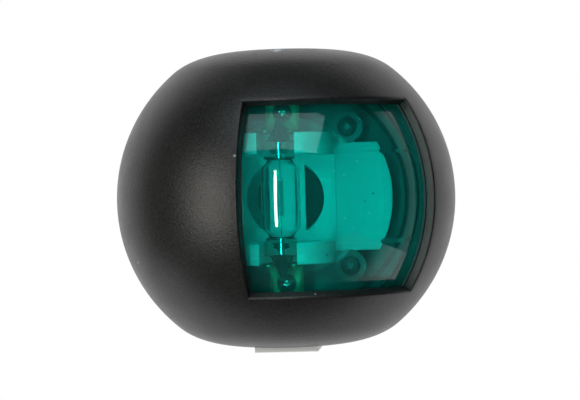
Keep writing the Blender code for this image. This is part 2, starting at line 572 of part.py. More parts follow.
def build_contact(side, level):
    """A forked strip on the outer face of a shelf, with a tab that takes the wire's screw."""
    low, high = sorted((level * STRIP_INNER, level * STRIP_OUTER))
    strip = box(f"contact_{side}", (-STRIP_HALF_WIDTH, STRIP_REAR, low),
                (STRIP_HALF_WIDTH, LAMP_FORWARD + STRIP_PAST_LAMP, high), BRASS)
    low, high = sorted((level * STRIP_INNER, level * (STRIP_INNER + TAB_HEIGHT)))
    tab = box(f"tab_{side}", (-STRIP_HALF_WIDTH, STRIP_REAR, low),
              (STRIP_HALF_WIDTH, STRIP_REAR + STRIP_THICKNESS, high))
    join(strip, tab)
    share = (STRIP_OUTER - LAMP_CAP_SHOULDER) / LAMP_CONE_LENGTH
    grip = LAMP_CONE_RADIUS + (LAMP_TIP_RADIUS - LAMP_CONE_RADIUS) * min(max(share, 0), 1) + 2 * GAP
    cut(strip, box(f"grip_{side}", (-grip, LAMP_FORWARD, -REACH), (grip, REACH, REACH)))
    cut(strip, cylinder(f"grip_round_{side}", grip, (0, LAMP_FORWARD, -REACH), (0, LAMP_FORWARD, REACH),
                        steps=20))
    cut(strip, cylinder(f"strip_hole_{side}", SCREW_HOLE_RADIUS, (0, RIVET_FORWARD, -REACH),
                        (0, RIVET_FORWARD, REACH), steps=16))
    tab_middle = level * (STRIP_INNER + TAB_SCREW_HEIGHT)
    cut(strip, cylinder(f"tab_hole_{side}", SCREW_HOLE_RADIUS, (0, 0, tab_middle),
                        (0, STRIP_REAR + STRIP_THICKNESS * 2, tab_middle), steps=16))
    front = STRIP_REAR + STRIP_THICKNESS + GAP
    profile = [
        (0, front + SMALL_HEAD_HEIGHT), (SMALL_HEAD_RADIUS * 0.7, front + SMALL_HEAD_HEIGHT),
        (SMALL_HEAD_RADIUS, front + SMALL_HEAD_HEIGHT * 0.5), (SMALL_HEAD_RADIUS, front),
        (SMALL_SHANK_RADIUS, front), (SMALL_SHANK_RADIUS, front - TERMINAL_SHANK_LENGTH),
        (0, front - TERMINAL_SHANK_LENGTH),
    ]
    screw = lathe(f"terminal_screw_{side}", profile, NICKEL, steps=16, turn=FRONTWARD,
                  place=(0, 0, tab_middle))
    slot_low = front + SMALL_HEAD_HEIGHT / 2
    slot_high = front + SMALL_HEAD_HEIGHT * 2
    half = SMALL_DRIVE_SLOT / 2
    cut(screw, box(f"terminal_slot_{side}", (-SMALL_HEAD_RADIUS * 2, slot_low, tab_middle - half),
                   (SMALL_HEAD_RADIUS * 2, slot_high, tab_middle + half)))
    head = STRIP_OUTER + GAP
    rivet_profile = [
        (0, head + SMALL_HEAD_HEIGHT * 0.6), (SMALL_HEAD_RADIUS * 0.6, head + SMALL_HEAD_HEIGHT * 0.5),
        (SMALL_HEAD_RADIUS * 0.9, head), (SMALL_SHANK_RADIUS, head),
        (SMALL_SHANK_RADIUS, STRIP_INNER - RIVET_DEPTH), (0, STRIP_INNER - RIVET_DEPTH),
    ]
    turn = (0, 0, 0) if level > 0 else (math.pi, 0, 0)
    lathe(f"contact_rivet_{side}", rivet_profile, NICKEL, steps=16, turn=turn, place=(0, -RIVET_FORWARD, 0))


def build_lamp():
    """The festoon lamp: an open-ended glass tube between two caps, with a coiled filament."""
    neck_end = LAMP_CAP_SHOULDER - 2 * LAMP_CAP_WALL
    blend = (LAMP_NECK_START - LAMP_TUBE_HALF) / 3
    outer = [
        (LAMP_NECK_RADIUS, neck_end), (LAMP_NECK_RADIUS, LAMP_NECK_START),
        (LAMP_GLASS_RADIUS - LAMP_GLASS_WALL, LAMP_NECK_START - blend), (LAMP_GLASS_RADIUS, LAMP_TUBE_HALF),
    ]
    half = outer + [(radius, -height) for radius, height in reversed(outer)]
    inner = [(radius - LAMP_GLASS_WALL, height) for radius, height in reversed(half)]
    lathe("lamp_glass", half + inner, CLEAR_GLASS, place=(0, -LAMP_FORWARD, 0), closed=True)
    bore = LAMP_CAP_RADIUS - LAMP_CAP_WALL
    cap = [
        (0, LAMP_HALF_LENGTH), (LAMP_TIP_RADIUS * 0.7, LAMP_HALF_LENGTH - LAMP_TIP_RADIUS * 0.2),
        (LAMP_TIP_RADIUS, LAMP_HALF_LENGTH - LAMP_TIP_RADIUS * 0.8), (LAMP_CONE_RADIUS, LAMP_CAP_SHOULDER),
        (LAMP_CAP_RADIUS, LAMP_CAP_SHOULDER - LAMP_CAP_WALL), (LAMP_CAP_RADIUS, LAMP_CAP_START),
        (bore, LAMP_CAP_START), (bore, LAMP_CAP_SHOULDER - LAMP_CAP_WALL),
        (0, LAMP_CAP_SHOULDER - LAMP_CAP_WALL),
    ]
    lathe("lamp_cap_upper", cap, NICKEL, place=(0, -LAMP_FORWARD, 0))
    lathe("lamp_cap_lower", cap, NICKEL, turn=(math.pi, 0, 0), place=(0, -LAMP_FORWARD, 0))

    end = LAMP_CAP_SHOULDER - LAMP_CAP_WALL - GAP
    straight = FILAMENT_STRAIGHT
    per_turn = 8
    points = [(0, 0, -end), (0, 0, -straight)]
    count = FILAMENT_TURNS * per_turn
    for i in range(count + 1):
        angle = math.tau * i / per_turn
        height = (straight - FILAMENT_COIL / 2) * (2 * i / count - 1)
        points.append((FILAMENT_COIL * math.cos(angle), FILAMENT_COIL * math.sin(angle), height))
    points += [(0, 0, straight), (0, 0, end)]
    curve = bpy.data.curves.new("lamp_filament", "CURVE")
    curve.dimensions = "3D"
    curve.bevel_depth = FILAMENT_WIRE
    curve.bevel_resolution = 1
    curve.use_fill_caps = True
    spline = curve.splines.new("POLY")
    spline.points.add(len(points) - 1)
    for point, place in zip(spline.points, points):
        point.co = (*place, 1.0)
    curve.materials.append(TUNGSTEN)
    wire = bpy.data.objects.new("lamp_filament", curve)
    wire.location = (0, -LAMP_FORWARD, 0)
    PARTS.objects.link(wire)


def build_lock():
    """The lock screw comes up through the tongue and the cover's fork into a brass insert."""
    head_top = COUNTERBORE_FLOOR + GAP + LOCK_WASHER_THICKNESS + GAP
    head_bottom = head_top + LOCK_HEAD_HEIGHT
    shank_top = ARM_TOP - GAP
    profile = [
        (0, -shank_top), (LOCK_SHANK_RADIUS * 0.8, -shank_top), (LOCK_SHANK_RADIUS, -shank_top - GAP),
        (LOCK_SHANK_RADIUS, -head_top), (LOCK_HEAD_RADIUS, -head_top), (LOCK_HEAD_RADIUS, -head_bottom + GAP),
        (LOCK_HEAD_RADIUS - GAP, -head_bottom), (0, -head_bottom),
    ]
    screw = lathe("lock_screw", profile, STEEL, place=(0, -LOCK_FORWARD, 0))
    depth = LOCK_HEAD_HEIGHT * 0.6
    reach = LOCK_HEAD_RADIUS * 0.62
    low = -head_bottom - depth
    high = -head_bottom + depth
    half = LOCK_DRIVE_SLOT / 2
    cut(screw, box("drive_long", (-reach, LOCK_FORWARD - half, low), (reach, LOCK_FORWARD + half, high)))
    cut(screw, box("drive_cross", (-half, LOCK_FORWARD - reach, low), (half, LOCK_FORWARD + reach, high)))

    washer_top = COUNTERBORE_FLOOR + GAP
    hole = LOCK_HOLE_RADIUS
    washer_bottom = washer_top + LOCK_WASHER_THICKNESS
    washer = [(hole, -washer_top), (LOCK_WASHER_RADIUS, -washer_top),
              (LOCK_WASHER_RADIUS, -washer_bottom), (hole, -washer_bottom)]
    lathe("lock_washer", washer, BLACK_RUBBER, place=(0, -LOCK_FORWARD, 0), closed=True)
    insert_outer = hole + INSERT_WALL
    insert = [(hole, -ARM_TOP), (insert_outer, -ARM_TOP), (insert_outer, -ARM_BOTTOM), (hole, -ARM_BOTTOM)]
    lathe("threaded_insert", insert, BRASS, place=(0, -LOCK_FORWARD, 0), closed=True)


build_base()
build_base_seals()
build_carrier()
build_reflector()
build_carrier_screws()
build_contact("upper", 1)
build_contact("lower", -1)
build_lamp()
build_lock()
build_cover()
build_lens()
mark_body("up_mark", 0, 0, MARK_PAINT)
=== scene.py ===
import math

import bmesh
import bpy
from mathutils import Matrix, Quaternion, Vector


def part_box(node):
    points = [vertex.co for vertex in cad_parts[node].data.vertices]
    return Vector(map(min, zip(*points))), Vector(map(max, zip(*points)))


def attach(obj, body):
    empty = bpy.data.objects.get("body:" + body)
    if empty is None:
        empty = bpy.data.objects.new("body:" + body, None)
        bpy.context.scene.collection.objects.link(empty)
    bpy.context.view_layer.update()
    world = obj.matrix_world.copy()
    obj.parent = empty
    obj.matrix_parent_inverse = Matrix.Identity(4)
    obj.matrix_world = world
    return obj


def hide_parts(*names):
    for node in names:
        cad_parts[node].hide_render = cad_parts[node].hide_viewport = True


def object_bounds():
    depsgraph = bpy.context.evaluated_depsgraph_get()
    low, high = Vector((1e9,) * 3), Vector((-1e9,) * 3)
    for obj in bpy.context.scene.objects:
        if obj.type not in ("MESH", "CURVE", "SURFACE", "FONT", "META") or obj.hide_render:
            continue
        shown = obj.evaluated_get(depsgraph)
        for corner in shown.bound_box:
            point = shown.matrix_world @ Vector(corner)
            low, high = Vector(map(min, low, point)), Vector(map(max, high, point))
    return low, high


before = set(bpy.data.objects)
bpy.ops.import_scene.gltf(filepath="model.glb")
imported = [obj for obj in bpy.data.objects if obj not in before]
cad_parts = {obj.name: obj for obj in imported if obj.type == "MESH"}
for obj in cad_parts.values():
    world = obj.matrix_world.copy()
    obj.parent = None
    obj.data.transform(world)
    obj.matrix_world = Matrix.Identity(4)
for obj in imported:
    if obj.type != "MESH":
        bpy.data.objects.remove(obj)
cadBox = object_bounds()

mm = 0.001
print("frame loaded:", len(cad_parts), "nodes")

# places that the other pieces hang on, all read from the frame
shellLow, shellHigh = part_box("cover_shell")
lampLow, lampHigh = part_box("lamp_glass")
globeRadius = (shellHigh[0] - shellLow[0]) / 2 - 0.06 * mm
flatHeight = shellHigh[2]
mouthY = shellHigh[1]
globeY = -24 * mm                       # the globe's upright axis
lampY = (lampLow[1] + lampHigh[1]) / 2

globe = {
    "halfHeight": 45.2 * mm, "flatRadius": 8 * mm, "shoulderDrop": 5.5 * mm, "wall": 2.2 * mm,
    "windowLeft": math.radians(-12.0), "windowRight": math.radians(62.6), "windowHalf": 25.8 * mm,
    "columns": 168, "rows": 84,
}


# shared mesh helpers
def newObject(name, mesh):
    made = bpy.data.objects.new(name, mesh)
    bpy.context.scene.collection.objects.link(made)
    return made


def meshFrom(bm, name, smoothAngle=32, fix=True):
    if fix:
        bmesh.ops.recalc_face_normals(bm, faces=bm.faces[:])
    mesh = bpy.data.meshes.new(name)
    bm.to_mesh(mesh)
    bm.free()
    for face in mesh.polygons:
        face.use_smooth = True
    mesh.set_sharp_from_angle(angle=math.radians(smoothAngle))
    return mesh


def bake(piece, smoothAngle=32):        # turns the modifiers into the mesh itself
    graph = bpy.context.evaluated_depsgraph_get()
    mesh = bpy.data.meshes.new_from_object(piece.evaluated_get(graph))
    piece.modifiers.clear()
    piece.data = mesh
    for face in mesh.polygons:
        face.use_smooth = True
    mesh.set_sharp_from_angle(angle=math.radians(smoothAngle))


def boolean(piece, *tools, how="DIFFERENCE"):
    for tool in tools:
        step = piece.modifiers.new("step", "BOOLEAN")
        step.operation = how
        step.object = tool
    bake(piece)
    for tool in tools:
        bpy.data.objects.remove(tool)


def roundEdges(piece, width, segments=3, angle=40):
    step = piece.modifiers.new("rounded", "BEVEL")
    step.width = width
    step.segments = segments
    step.limit_method = "ANGLE"
    step.angle_limit = math.radians(angle)
    step.harden_normals = False
    bake(piece)


def block(name, low, high, rounding=0.0):   # corners are (x, y, z)
    bm = bmesh.new()
    bmesh.ops.create_cube(bm, size=1.0)
    for vert in bm.verts:
        vert.co = [low[i] + (high[i] - low[i]) * (vert.co[i] + 0.5) for i in range(3)]
    if rounding:
        bmesh.ops.bevel(bm, geom=bm.edges[:], offset=rounding, segments=3, profile=0.5, affect="EDGES")
    return newObject(name, meshFrom(bm, name, fix=False))


# profile is (radius, height) down the outer side; toward says where its heights point
def turned(name, profile, place=(0, 0, 0), toward="up", steps=96, closed=False):
    bm = bmesh.new()
    rings = []
    for radius, height in profile:
        if radius < 1e-7:
            rings.append([bm.verts.new((0, 0, height))])
        else:
            rings.append([bm.verts.new((radius * math.cos(math.tau * i / steps),
                                        radius * math.sin(math.tau * i / steps),
                                        height)) for i in range(steps)])
    pairs = list(zip(rings, rings[1:]))
    if closed:
        pairs.append((rings[-1], rings[0]))
    for upper, lower in pairs:
        for i in range(steps):
            j = (i + 1) % steps
            if len(upper) == 1 and len(lower) == 1:
                continue
            if len(upper) == 1:
                bm.faces.new((upper[0], lower[i], lower[j]))
            elif len(lower) == 1:
                bm.faces.new((upper[i], lower[0], upper[j]))
            else:
                bm.faces.new((upper[i], lower[i], lower[j], upper[j]))
    turn = {"up": (0, 0, 0), "down": (math.pi, 0, 0), "front": (math.pi / 2, 0, 0)}[toward]
    mesh = meshFrom(bm, name)
    piece = newObject(name, mesh)
    piece.rotation_euler = turn
    piece.location = place
    bpy.context.view_layer.update()
    mesh.transform(piece.matrix_world)
    piece.rotation_euler = (0, 0, 0)
    piece.location = (0, 0, 0)
    return piece


def arc(centre, radius, start, end, steps=5):   # degrees, as (radius, height) points
    return [(centre[0] + radius * math.cos(math.radians(start + (end - start) * i / steps)),
             centre[1] + radius * math.sin(math.radians(start + (end - start) * i / steps)))
            for i in range(steps + 1)]


def roundBar(name, radius, start, end, steps=48):
    first, last = Vector(start), Vector(end)
    along = last - first
    bm = bmesh.new()
    bmesh.ops.create_cone(bm, cap_ends=True, segments=steps, radius1=radius, radius2=radius,
                          depth=along.length)
    mesh = meshFrom(bm, name, fix=False)
    piece = newObject(name, mesh)
    piece.rotation_euler = along.to_track_quat("Z", "Y").to_euler()
    piece.location = (first + last) / 2
    bpy.context.view_layer.update()
    mesh.transform(piece.matrix_world)
    piece.rotation_euler = (0, 0, 0)
    piece.location = (0, 0, 0)
    return piece


def sidePlate(name, points, halfWidth, rounding=0.0):   # points are (y, z)
    bm = bmesh.new()
    face = bm.faces.new([bm.verts.new((-halfWidth, y, z)) for y, z in points])
    lifted = bmesh.ops.extrude_face_region(bm, geom=[face], use_keep_orig=True)
    for part in lifted["geom"]:
        if isinstance(part, bmesh.types.BMVert):
            part.co.x = halfWidth
    bmesh.ops.recalc_face_normals(bm, faces=bm.faces[:])
    if rounding:
        bmesh.ops.bevel(bm, geom=bm.edges[:], offset=rounding, segments=3, profile=0.5, affect="EDGES")
    return newObject(name, meshFrom(bm, name, fix=False))


# shared shader groups
def newGroup(name, inputs, outputs):
    group = bpy.data.node_groups.new(name, "ShaderNodeTree")
    for label, kind, value in inputs:
        socket = group.interface.new_socket(name=label, in_out="INPUT", socket_type=kind)
        socket.default_value = value
    for label, kind in outputs:
        group.interface.new_socket(name=label, in_out="OUTPUT", socket_type=kind)
    return group, group.nodes.new("NodeGroupInput"), group.nodes.new("NodeGroupOutput")


def node(tree, kind, **settings):
    made = tree.nodes.new(kind)
    for key, value in settings.items():
        setattr(made, key, value)
    return made


def ramp(tree, source, low, high, outLow=0.0, outHigh=1.0):
    made = node(tree, "ShaderNodeMapRange")
    made.inputs["From Min"].default_value = low
    made.inputs["From Max"].default_value = high
    made.inputs["To Min"].default_value = outLow
    made.inputs["To Max"].default_value = outHigh
    tree.links.new(source, made.inputs["Value"])
    return made.outputs["Result"]


def buildGrainGroup():                  # spark-eroded mould texture: fine pits with a coarser wave
    group, given, result = newGroup("mouldGrain", [("Size", "NodeSocketFloat", 2600.0)],
                                    [("Height", "NodeSocketFloat"), ("Pits", "NodeSocketFloat")])
    place = node(group, "ShaderNodeTexCoord")
    fine = node(group, "ShaderNodeTexNoise")
    fine.inputs["Detail"].default_value = 3.0
    fine.inputs["Roughness"].default_value = 0.65
    cells = node(group, "ShaderNodeTexVoronoi", feature="SMOOTH_F1")
    half = node(group, "ShaderNodeMath", operation="MULTIPLY")
    half.inputs[1].default_value = 0.62
    blend = node(group, "ShaderNodeMath", operation="MULTIPLY_ADD")
    blend.inputs[1].default_value = 0.55
    group.links.new(place.outputs["Object"], fine.inputs["Vector"])
    group.links.new(place.outputs["Object"], cells.inputs["Vector"])
    group.links.new(given.outputs["Size"], fine.inputs["Scale"])
    group.links.new(given.outputs["Size"], half.inputs[0])
    group.links.new(half.outputs[0], cells.inputs["Scale"])
    group.links.new(cells.outputs["Distance"], blend.inputs[0])
    group.links.new(fine.outputs["Fac"], blend.inputs[2])
    group.links.new(blend.outputs[0], result.inputs["Height"])
    group.links.new(ramp(group, fine.outputs["Fac"], 0.35, 0.68), result.inputs["Pits"])
    return group


def buildSmudgeGroup():                 # slow changes in gloss from handling
    group, given, result = newGroup("handling", [("Size", "NodeSocketFloat", 90.0)],
                                    [("Mask", "NodeSocketFloat")])
    place = node(group, "ShaderNodeTexCoord")
    slow = node(group, "ShaderNodeTexNoise")
    slow.inputs["Detail"].default_value = 4.0
    slow.inputs["Distortion"].default_value = 0.6
    group.links.new(place.outputs["Object"], slow.inputs["Vector"])
    group.links.new(given.outputs["Size"], slow.inputs["Scale"])
    group.links.new(ramp(group, slow.outputs["Fac"], 0.3, 0.7), result.inputs["Mask"])
    return group


def buildDustGroup():                   # sparse settled specks
    group, given, result = newGroup("dustSpecks", [("Size", "NodeSocketFloat", 420.0),
                                                   ("Amount", "NodeSocketFloat", 0.09)],
                                    [("Mask", "NodeSocketFloat")])
    place = node(group, "ShaderNodeTexCoord")
    cells = node(group, "ShaderNodeTexVoronoi")
    cells.inputs["Randomness"].default_value = 1.0
    chance = node(group, "ShaderNodeSeparateColor")
    isSpeck = node(group, "ShaderNodeMath", operation="LESS_THAN")
    isNear = node(group, "ShaderNodeMath", operation="LESS_THAN")
    isNear.inputs[1].default_value = 0.16
    both = node(group, "ShaderNodeMath", operation="MULTIPLY")
    group.links.new(place.outputs["Object"], cells.inputs["Vector"])
    group.links.new(given.outputs["Size"], cells.inputs["Scale"])
    group.links.new(cells.outputs["Color"], chance.inputs["Color"])
    group.links.new(chance.outputs["Red"], isSpeck.inputs[0])
    group.links.new(given.outputs["Amount"], isSpeck.inputs[1])
    group.links.new(cells.outputs["Distance"], isNear.inputs[0])
    group.links.new(isSpeck.outputs[0], both.inputs[0])
    group.links.new(isNear.outputs[0], both.inputs[1])
    group.links.new(both.outputs[0], result.inputs["Mask"])
    return group


def buildWearGroup():                   # rubbed convex edges
    group, given, result = newGroup("rubbedEdges", [("Sharpness", "NodeSocketFloat", 0.56)],
                                    [("Mask", "NodeSocketFloat")])
    shape = node(group, "ShaderNodeNewGeometry")
    place = node(group, "ShaderNodeTexCoord")
    breakUp = node(group, "ShaderNodeTexNoise")
    breakUp.inputs["Scale"].default_value = 500.0
    edge = node(group, "ShaderNodeMath", operation="SUBTRACT")
    scale = node(group, "ShaderNodeMath", operation="MULTIPLY", use_clamp=True)
    scale.inputs[1].default_value = 9.0
    mixed = node(group, "ShaderNodeMath", operation="MULTIPLY")
    group.links.new(place.outputs["Object"], breakUp.inputs["Vector"])
    group.links.new(shape.outputs["Pointiness"], edge.inputs[0])
    group.links.new(given.outputs["Sharpness"], edge.inputs[1])
    group.links.new(edge.outputs[0], scale.inputs[0])
    group.links.new(scale.outputs[0], mixed.inputs[0])
    group.links.new(breakUp.outputs["Fac"], mixed.inputs[1])
    group.links.new(mixed.outputs[0], result.inputs["Mask"])
    return group


def buildPaintedShadeGroup():                # painted shade: a dark ring round the lamp chamber, by distance from the middle, standing in for the shade on the carrier's ears and the base behind the panel
    group, given, result = newGroup("paintedShadeRing", [("Inner", "NodeSocketFloat", 0.022)],
                                    [("Mask", "NodeSocketFloat")])
    place = node(group, "ShaderNodeTexCoord")
    flat = node(group, "ShaderNodeVectorMath", operation="MULTIPLY")
    flat.inputs[1].default_value = (1, 0, 1)
    away = node(group, "ShaderNodeVectorMath", operation="LENGTH")
    past = node(group, "ShaderNodeMath", operation="SUBTRACT")
    split = node(group, "ShaderNodeSeparateXYZ")
    first = node(group, "ShaderNodeMath", operation="MULTIPLY")
    second = node(group, "ShaderNodeMath", operation="MULTIPLY")
    group.links.new(place.outputs["Object"], flat.inputs[0])
    group.links.new(place.outputs["Object"], split.inputs[0])
    group.links.new(flat.outputs["Vector"], away.inputs[0])
    group.links.new(away.outputs["Value"], past.inputs[0])
    group.links.new(given.outputs["Inner"], past.inputs[1])
    group.links.new(ramp(group, past.outputs[0], 0.0, 0.0012), first.inputs[0])
    group.links.new(ramp(group, away.outputs["Value"], 0.0372, 0.0366), first.inputs[1])
    group.links.new(first.outputs[0], second.inputs[0])
    group.links.new(ramp(group, split.outputs["Y"], -0.0022, -0.0030), second.inputs[1])
    group.links.new(second.outputs[0], result.inputs["Mask"])
    return group


grainGroup, smudgeGroup = buildGrainGroup(), buildSmudgeGroup()
dustGroup, wearGroup = buildDustGroup(), buildWearGroup()
paintedShadeGroup = buildPaintedShadeGroup()


def useGroup(tree, group, **values):
    made = node(tree, "ShaderNodeGroup", node_tree=group)
    for key, value in values.items():
        made.inputs[key].default_value = value
    return made


def blendColour(tree, mask, first, second):
    made = node(tree, "ShaderNodeMix", data_type="RGBA")
    tree.links.new(mask, made.inputs[0])
    for socket, colour in ((made.inputs[6], first), (made.inputs[7], second)):
        if isinstance(colour, tuple):
            socket.default_value = (*colour, 1.0)
        else:
            tree.links.new(colour, socket)
    return made.outputs[2]


def startMaterial(name):
    made = bpy.data.materials.new(name)
    made.use_nodes = True
    return made, made.node_tree, made.node_tree.nodes["Principled BSDF"]


# moulded plastic, rubber or paint: grain, handling marks, rubbed edges and dust over one colour, and where
# asked a ring of painted shade
def moulded(name, look):
    made, tree, shader = startMaterial(name)
    grain = useGroup(tree, grainGroup, Size=look["grainSize"])
    smudge = useGroup(tree, smudgeGroup, Size=look.get("smudgeSize", 90.0))
    wear = useGroup(tree, wearGroup)
    dust = useGroup(tree, dustGroup, Amount=look.get("dust", 0.05))
    worn = blendColour(tree, grain.outputs["Pits"], look["colour"], look["lighter"])
    worn = blendColour(tree, wear.outputs["Mask"], worn, look["worn"])
    worn = blendColour(tree, dust.outputs["Mask"], worn, look.get("dustColour", (0.30, 0.30, 0.29)))
    # painted shade: a darker ring inside the housing, laid over the base colour
    if look.get("paintedShade"):
        paintedShade = useGroup(tree, paintedShadeGroup, Inner=look["paintedShadeFrom"])
        worn = blendColour(tree, paintedShade.outputs["Mask"], worn, look["paintedShade"])
    tree.links.new(worn, shader.inputs["Base Color"])
    low, high = look["roughness"]
    tree.links.new(ramp(tree, smudge.outputs["Mask"], 0.0, 1.0, low, high), shader.inputs["Roughness"])
    shader.inputs["Specular IOR Level"].default_value = look.get("specular", 0.5)
    if look.get("subsurface"):
        shader.inputs["Subsurface Weight"].default_value = look["subsurface"]
        shader.inputs["Subsurface Radius"].default_value = (0.002, 0.002, 0.002)
        shader.inputs["Subsurface Scale"].default_value = 0.5
    bump = node(tree, "ShaderNodeBump")
    bump.inputs["Strength"].default_value = look["bump"]
    bump.inputs["Distance"].default_value = look.get("depth", 0.00004)
    tree.links.new(grain.outputs["Height"], bump.inputs["Height"])
    tree.links.new(bump.outputs["Normal"], shader.inputs["Normal"])
    return made


# drawn, rolled or plated metal: fine lines and handling marks
def metal(name, look):
    made, tree, shader = startMaterial(name)
    shader.inputs["Metallic"].default_value = 1.0
    place = node(tree, "ShaderNodeTexCoord")
    stretch = node(tree, "ShaderNodeMapping")
    stretch.inputs["Scale"].default_value = look["lines"]
    lines = node(tree, "ShaderNodeTexNoise")
    lines.inputs["Scale"].default_value = 1.0
    lines.inputs["Detail"].default_value = 3.0
    tree.links.new(place.outputs["Object"], stretch.inputs["Vector"])
    tree.links.new(stretch.outputs["Vector"], lines.inputs["Vector"])
    smudge = useGroup(tree, smudgeGroup, Size=260.0)
    tone = blendColour(tree, smudge.outputs["Mask"], look["colour"], look["tarnish"])
    tree.links.new(tone, shader.inputs["Base Color"])
    low, high = look["roughness"]
    tree.links.new(ramp(tree, lines.outputs["Fac"], 0.3, 0.7, low, high), shader.inputs["Roughness"])
    bump = node(tree, "ShaderNodeBump")
    bump.inputs["Strength"].default_value = look["bump"]
    bump.inputs["Distance"].default_value = 0.00002
    tree.links.new(lines.outputs["Fac"], bump.inputs["Height"])
    tree.links.new(bump.outputs["Normal"], shader.inputs["Normal"])
    return made


# glass or clear plastic. Shadow rays pass through it with its tint, so that what is inside is lit
def clearSolid(name, look):
    made, tree, shader = startMaterial(name)
    shader.inputs["Metallic"].default_value = 0.0
    shader.inputs["Transmission Weight"].default_value = look["clear"]
    shader.inputs["IOR"].default_value = look["ior"]
    dust = useGroup(tree, dustGroup, Size=look["dustSize"], Amount=look["dust"])
    smudge = useGroup(tree, smudgeGroup, Size=70.0)
    tint = blendColour(tree, dust.outputs["Mask"], look["colour"], look["dustColour"])
    tree.links.new(tint, shader.inputs["Base Color"])
    low, high = look["roughness"]
    tree.links.new(ramp(tree, smudge.outputs["Mask"], 0.0, 1.0, low, high), shader.inputs["Roughness"])
    wave = node(tree, "ShaderNodeTexNoise")
    wave.inputs["Scale"].default_value = look["waveSize"]
    place = node(tree, "ShaderNodeTexCoord")
    tree.links.new(place.outputs["Object"], wave.inputs["Vector"])
    bump = node(tree, "ShaderNodeBump")
    bump.inputs["Strength"].default_value = look["wave"]
    bump.inputs["Distance"].default_value = 0.0002
    tree.links.new(wave.outputs["Fac"], bump.inputs["Height"])
    tree.links.new(bump.outputs["Normal"], shader.inputs["Normal"])
    through = node(tree, "ShaderNodeBsdfTransparent")
    through.inputs["Color"].default_value = (*look["shadowTint"], 1.0)
    path = node(tree, "ShaderNodeLightPath")
    choose = node(tree, "ShaderNodeMixShader")
    out = tree.nodes["Material Output"]
    tree.links.new(path.outputs["Is Shadow Ray"], choose.inputs[0])
    tree.links.new(shader.outputs[0], choose.inputs[1])
    tree.links.new(through.outputs[0], choose.inputs[2])
    tree.links.new(choose.outputs[0], out.inputs["Surface"])
    return made


grainedBlack = moulded("grainedBlack", {
    "colour": (0.0025, 0.0025, 0.0024), "lighter": (0.030, 0.030, 0.029), "worn": (0.05, 0.05, 0.048),
    "grainSize": 2600.0, "roughness": (0.31, 0.37), "bump": 0.75, "depth": 0.00008, "dust": 0.010,
})
whiteLook = {
    "colour": (0.82, 0.82, 0.79), "lighter": (0.86, 0.86, 0.84), "worn": (0.88, 0.88, 0.86),
    "grainSize": 900.0, "roughness": (0.30, 0.42), "bump": 0.12, "dust": 0.02,
}
satinWhite = moulded("satinWhite", whiteLook)
# painted shade: this white darkens in a ring inside the housing, where the carrier's ears and the base sit in
# shade behind the panel
whiteWithPaintedShade = moulded("whiteWithPaintedShade", {**whiteLook, "paintedShade": (0.035, 0.036, 0.036), "paintedShadeFrom": 0.0215})
sealRubber = moulded("sealRubber", {
    "colour": (0.020, 0.020, 0.021), "lighter": (0.034, 0.034, 0.035), "worn": (0.06, 0.06, 0.06),
    "grainSize": 1600.0, "roughness": (0.62, 0.78), "bump": 0.25, "dust": 0.10,
})
paleInk = moulded("paleInk", {
    "colour": (0.58, 0.62, 0.70), "lighter": (0.66, 0.70, 0.76), "worn": (0.75, 0.78, 0.80),
    "grainSize": 1800.0, "roughness": (0.45, 0.6), "bump": 0.2,
})
stainless = metal("stainless", {
    "colour": (0.63, 0.62, 0.60), "tarnish": (0.52, 0.51, 0.49), "roughness": (0.18, 0.36),
    "lines": (900.0, 900.0, 9000.0), "bump": 0.2,
})
# painted shade: a darker copy of steel for the carrier screws, which sit in shade behind the panel
shadeDarkenedSteel = metal("shadeDarkenedSteel", {
    "colour": (0.16, 0.155, 0.15), "tarnish": (0.10, 0.098, 0.094), "roughness": (0.34, 0.50),
    "lines": (900.0, 900.0, 9000.0), "bump": 0.2,
})
nickelPlate = metal("nickelPlate", {
    "colour": (0.78, 0.77, 0.74), "tarnish": (0.66, 0.64, 0.60), "roughness": (0.06, 0.16),
    "lines": (500.0, 500.0, 7000.0), "bump": 0.08,
})
springBrass = metal("springBrass", {
    "colour": (0.46, 0.37, 0.20), "tarnish": (0.30, 0.23, 0.12), "roughness": (0.38, 0.52),
    "lines": (7000.0, 600.0, 600.0), "bump": 0.15,
})
tungstenWire = metal("tungstenWire", {
    "colour": (0.36, 0.35, 0.34), "tarnish": (0.24, 0.23, 0.23), "roughness": (0.35, 0.5),
    "lines": (9000.0, 9000.0, 9000.0), "bump": 0.1,
})
seaGreen = clearSolid("seaGreen", {
    "colour": (0.015, 0.74, 0.66), "shadowTint": (0.10, 0.93, 0.90), "clear": 0.95, "ior": 1.49,
    "roughness": (0.0, 0.02),
    "dust": 0.04, "dustSize": 520.0, "dustColour": (0.30, 0.85, 0.78), "wave": 0.03, "waveSize": 120.0,
})
drawnGlass = clearSolid("drawnGlass", {
    "colour": (0.97, 0.985, 0.98), "shadowTint": (0.97, 0.985, 0.98), "clear": 1.0, "ior": 1.50,
    "roughness": (0.0, 0.01),
    "dust": 0.02, "dustSize": 700.0, "dustColour": (0.8, 0.8, 0.8), "wave": 0.05, "waveSize": 300.0,
})
print("materials made")


def finishPiece(piece, look, body, slot, *nodes):
    piece.data.materials.clear()
    piece.data.materials.append(look)
    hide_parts(*nodes)
    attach(piece, body)
    return piece


# the black cover
# a point on the globe at a turn about its upright axis, or inside it by inset
def globePoint(turn, height, inset=0.0):
    tall = globe["halfHeight"]
    ring = globeRadius * math.sqrt(max(0.0, 1 - (height / tall) ** 2))
    share = 1 - inset / globeRadius
    return Vector((ring * share * math.sin(turn), globeY - ring * share * math.cos(turn), height * share))


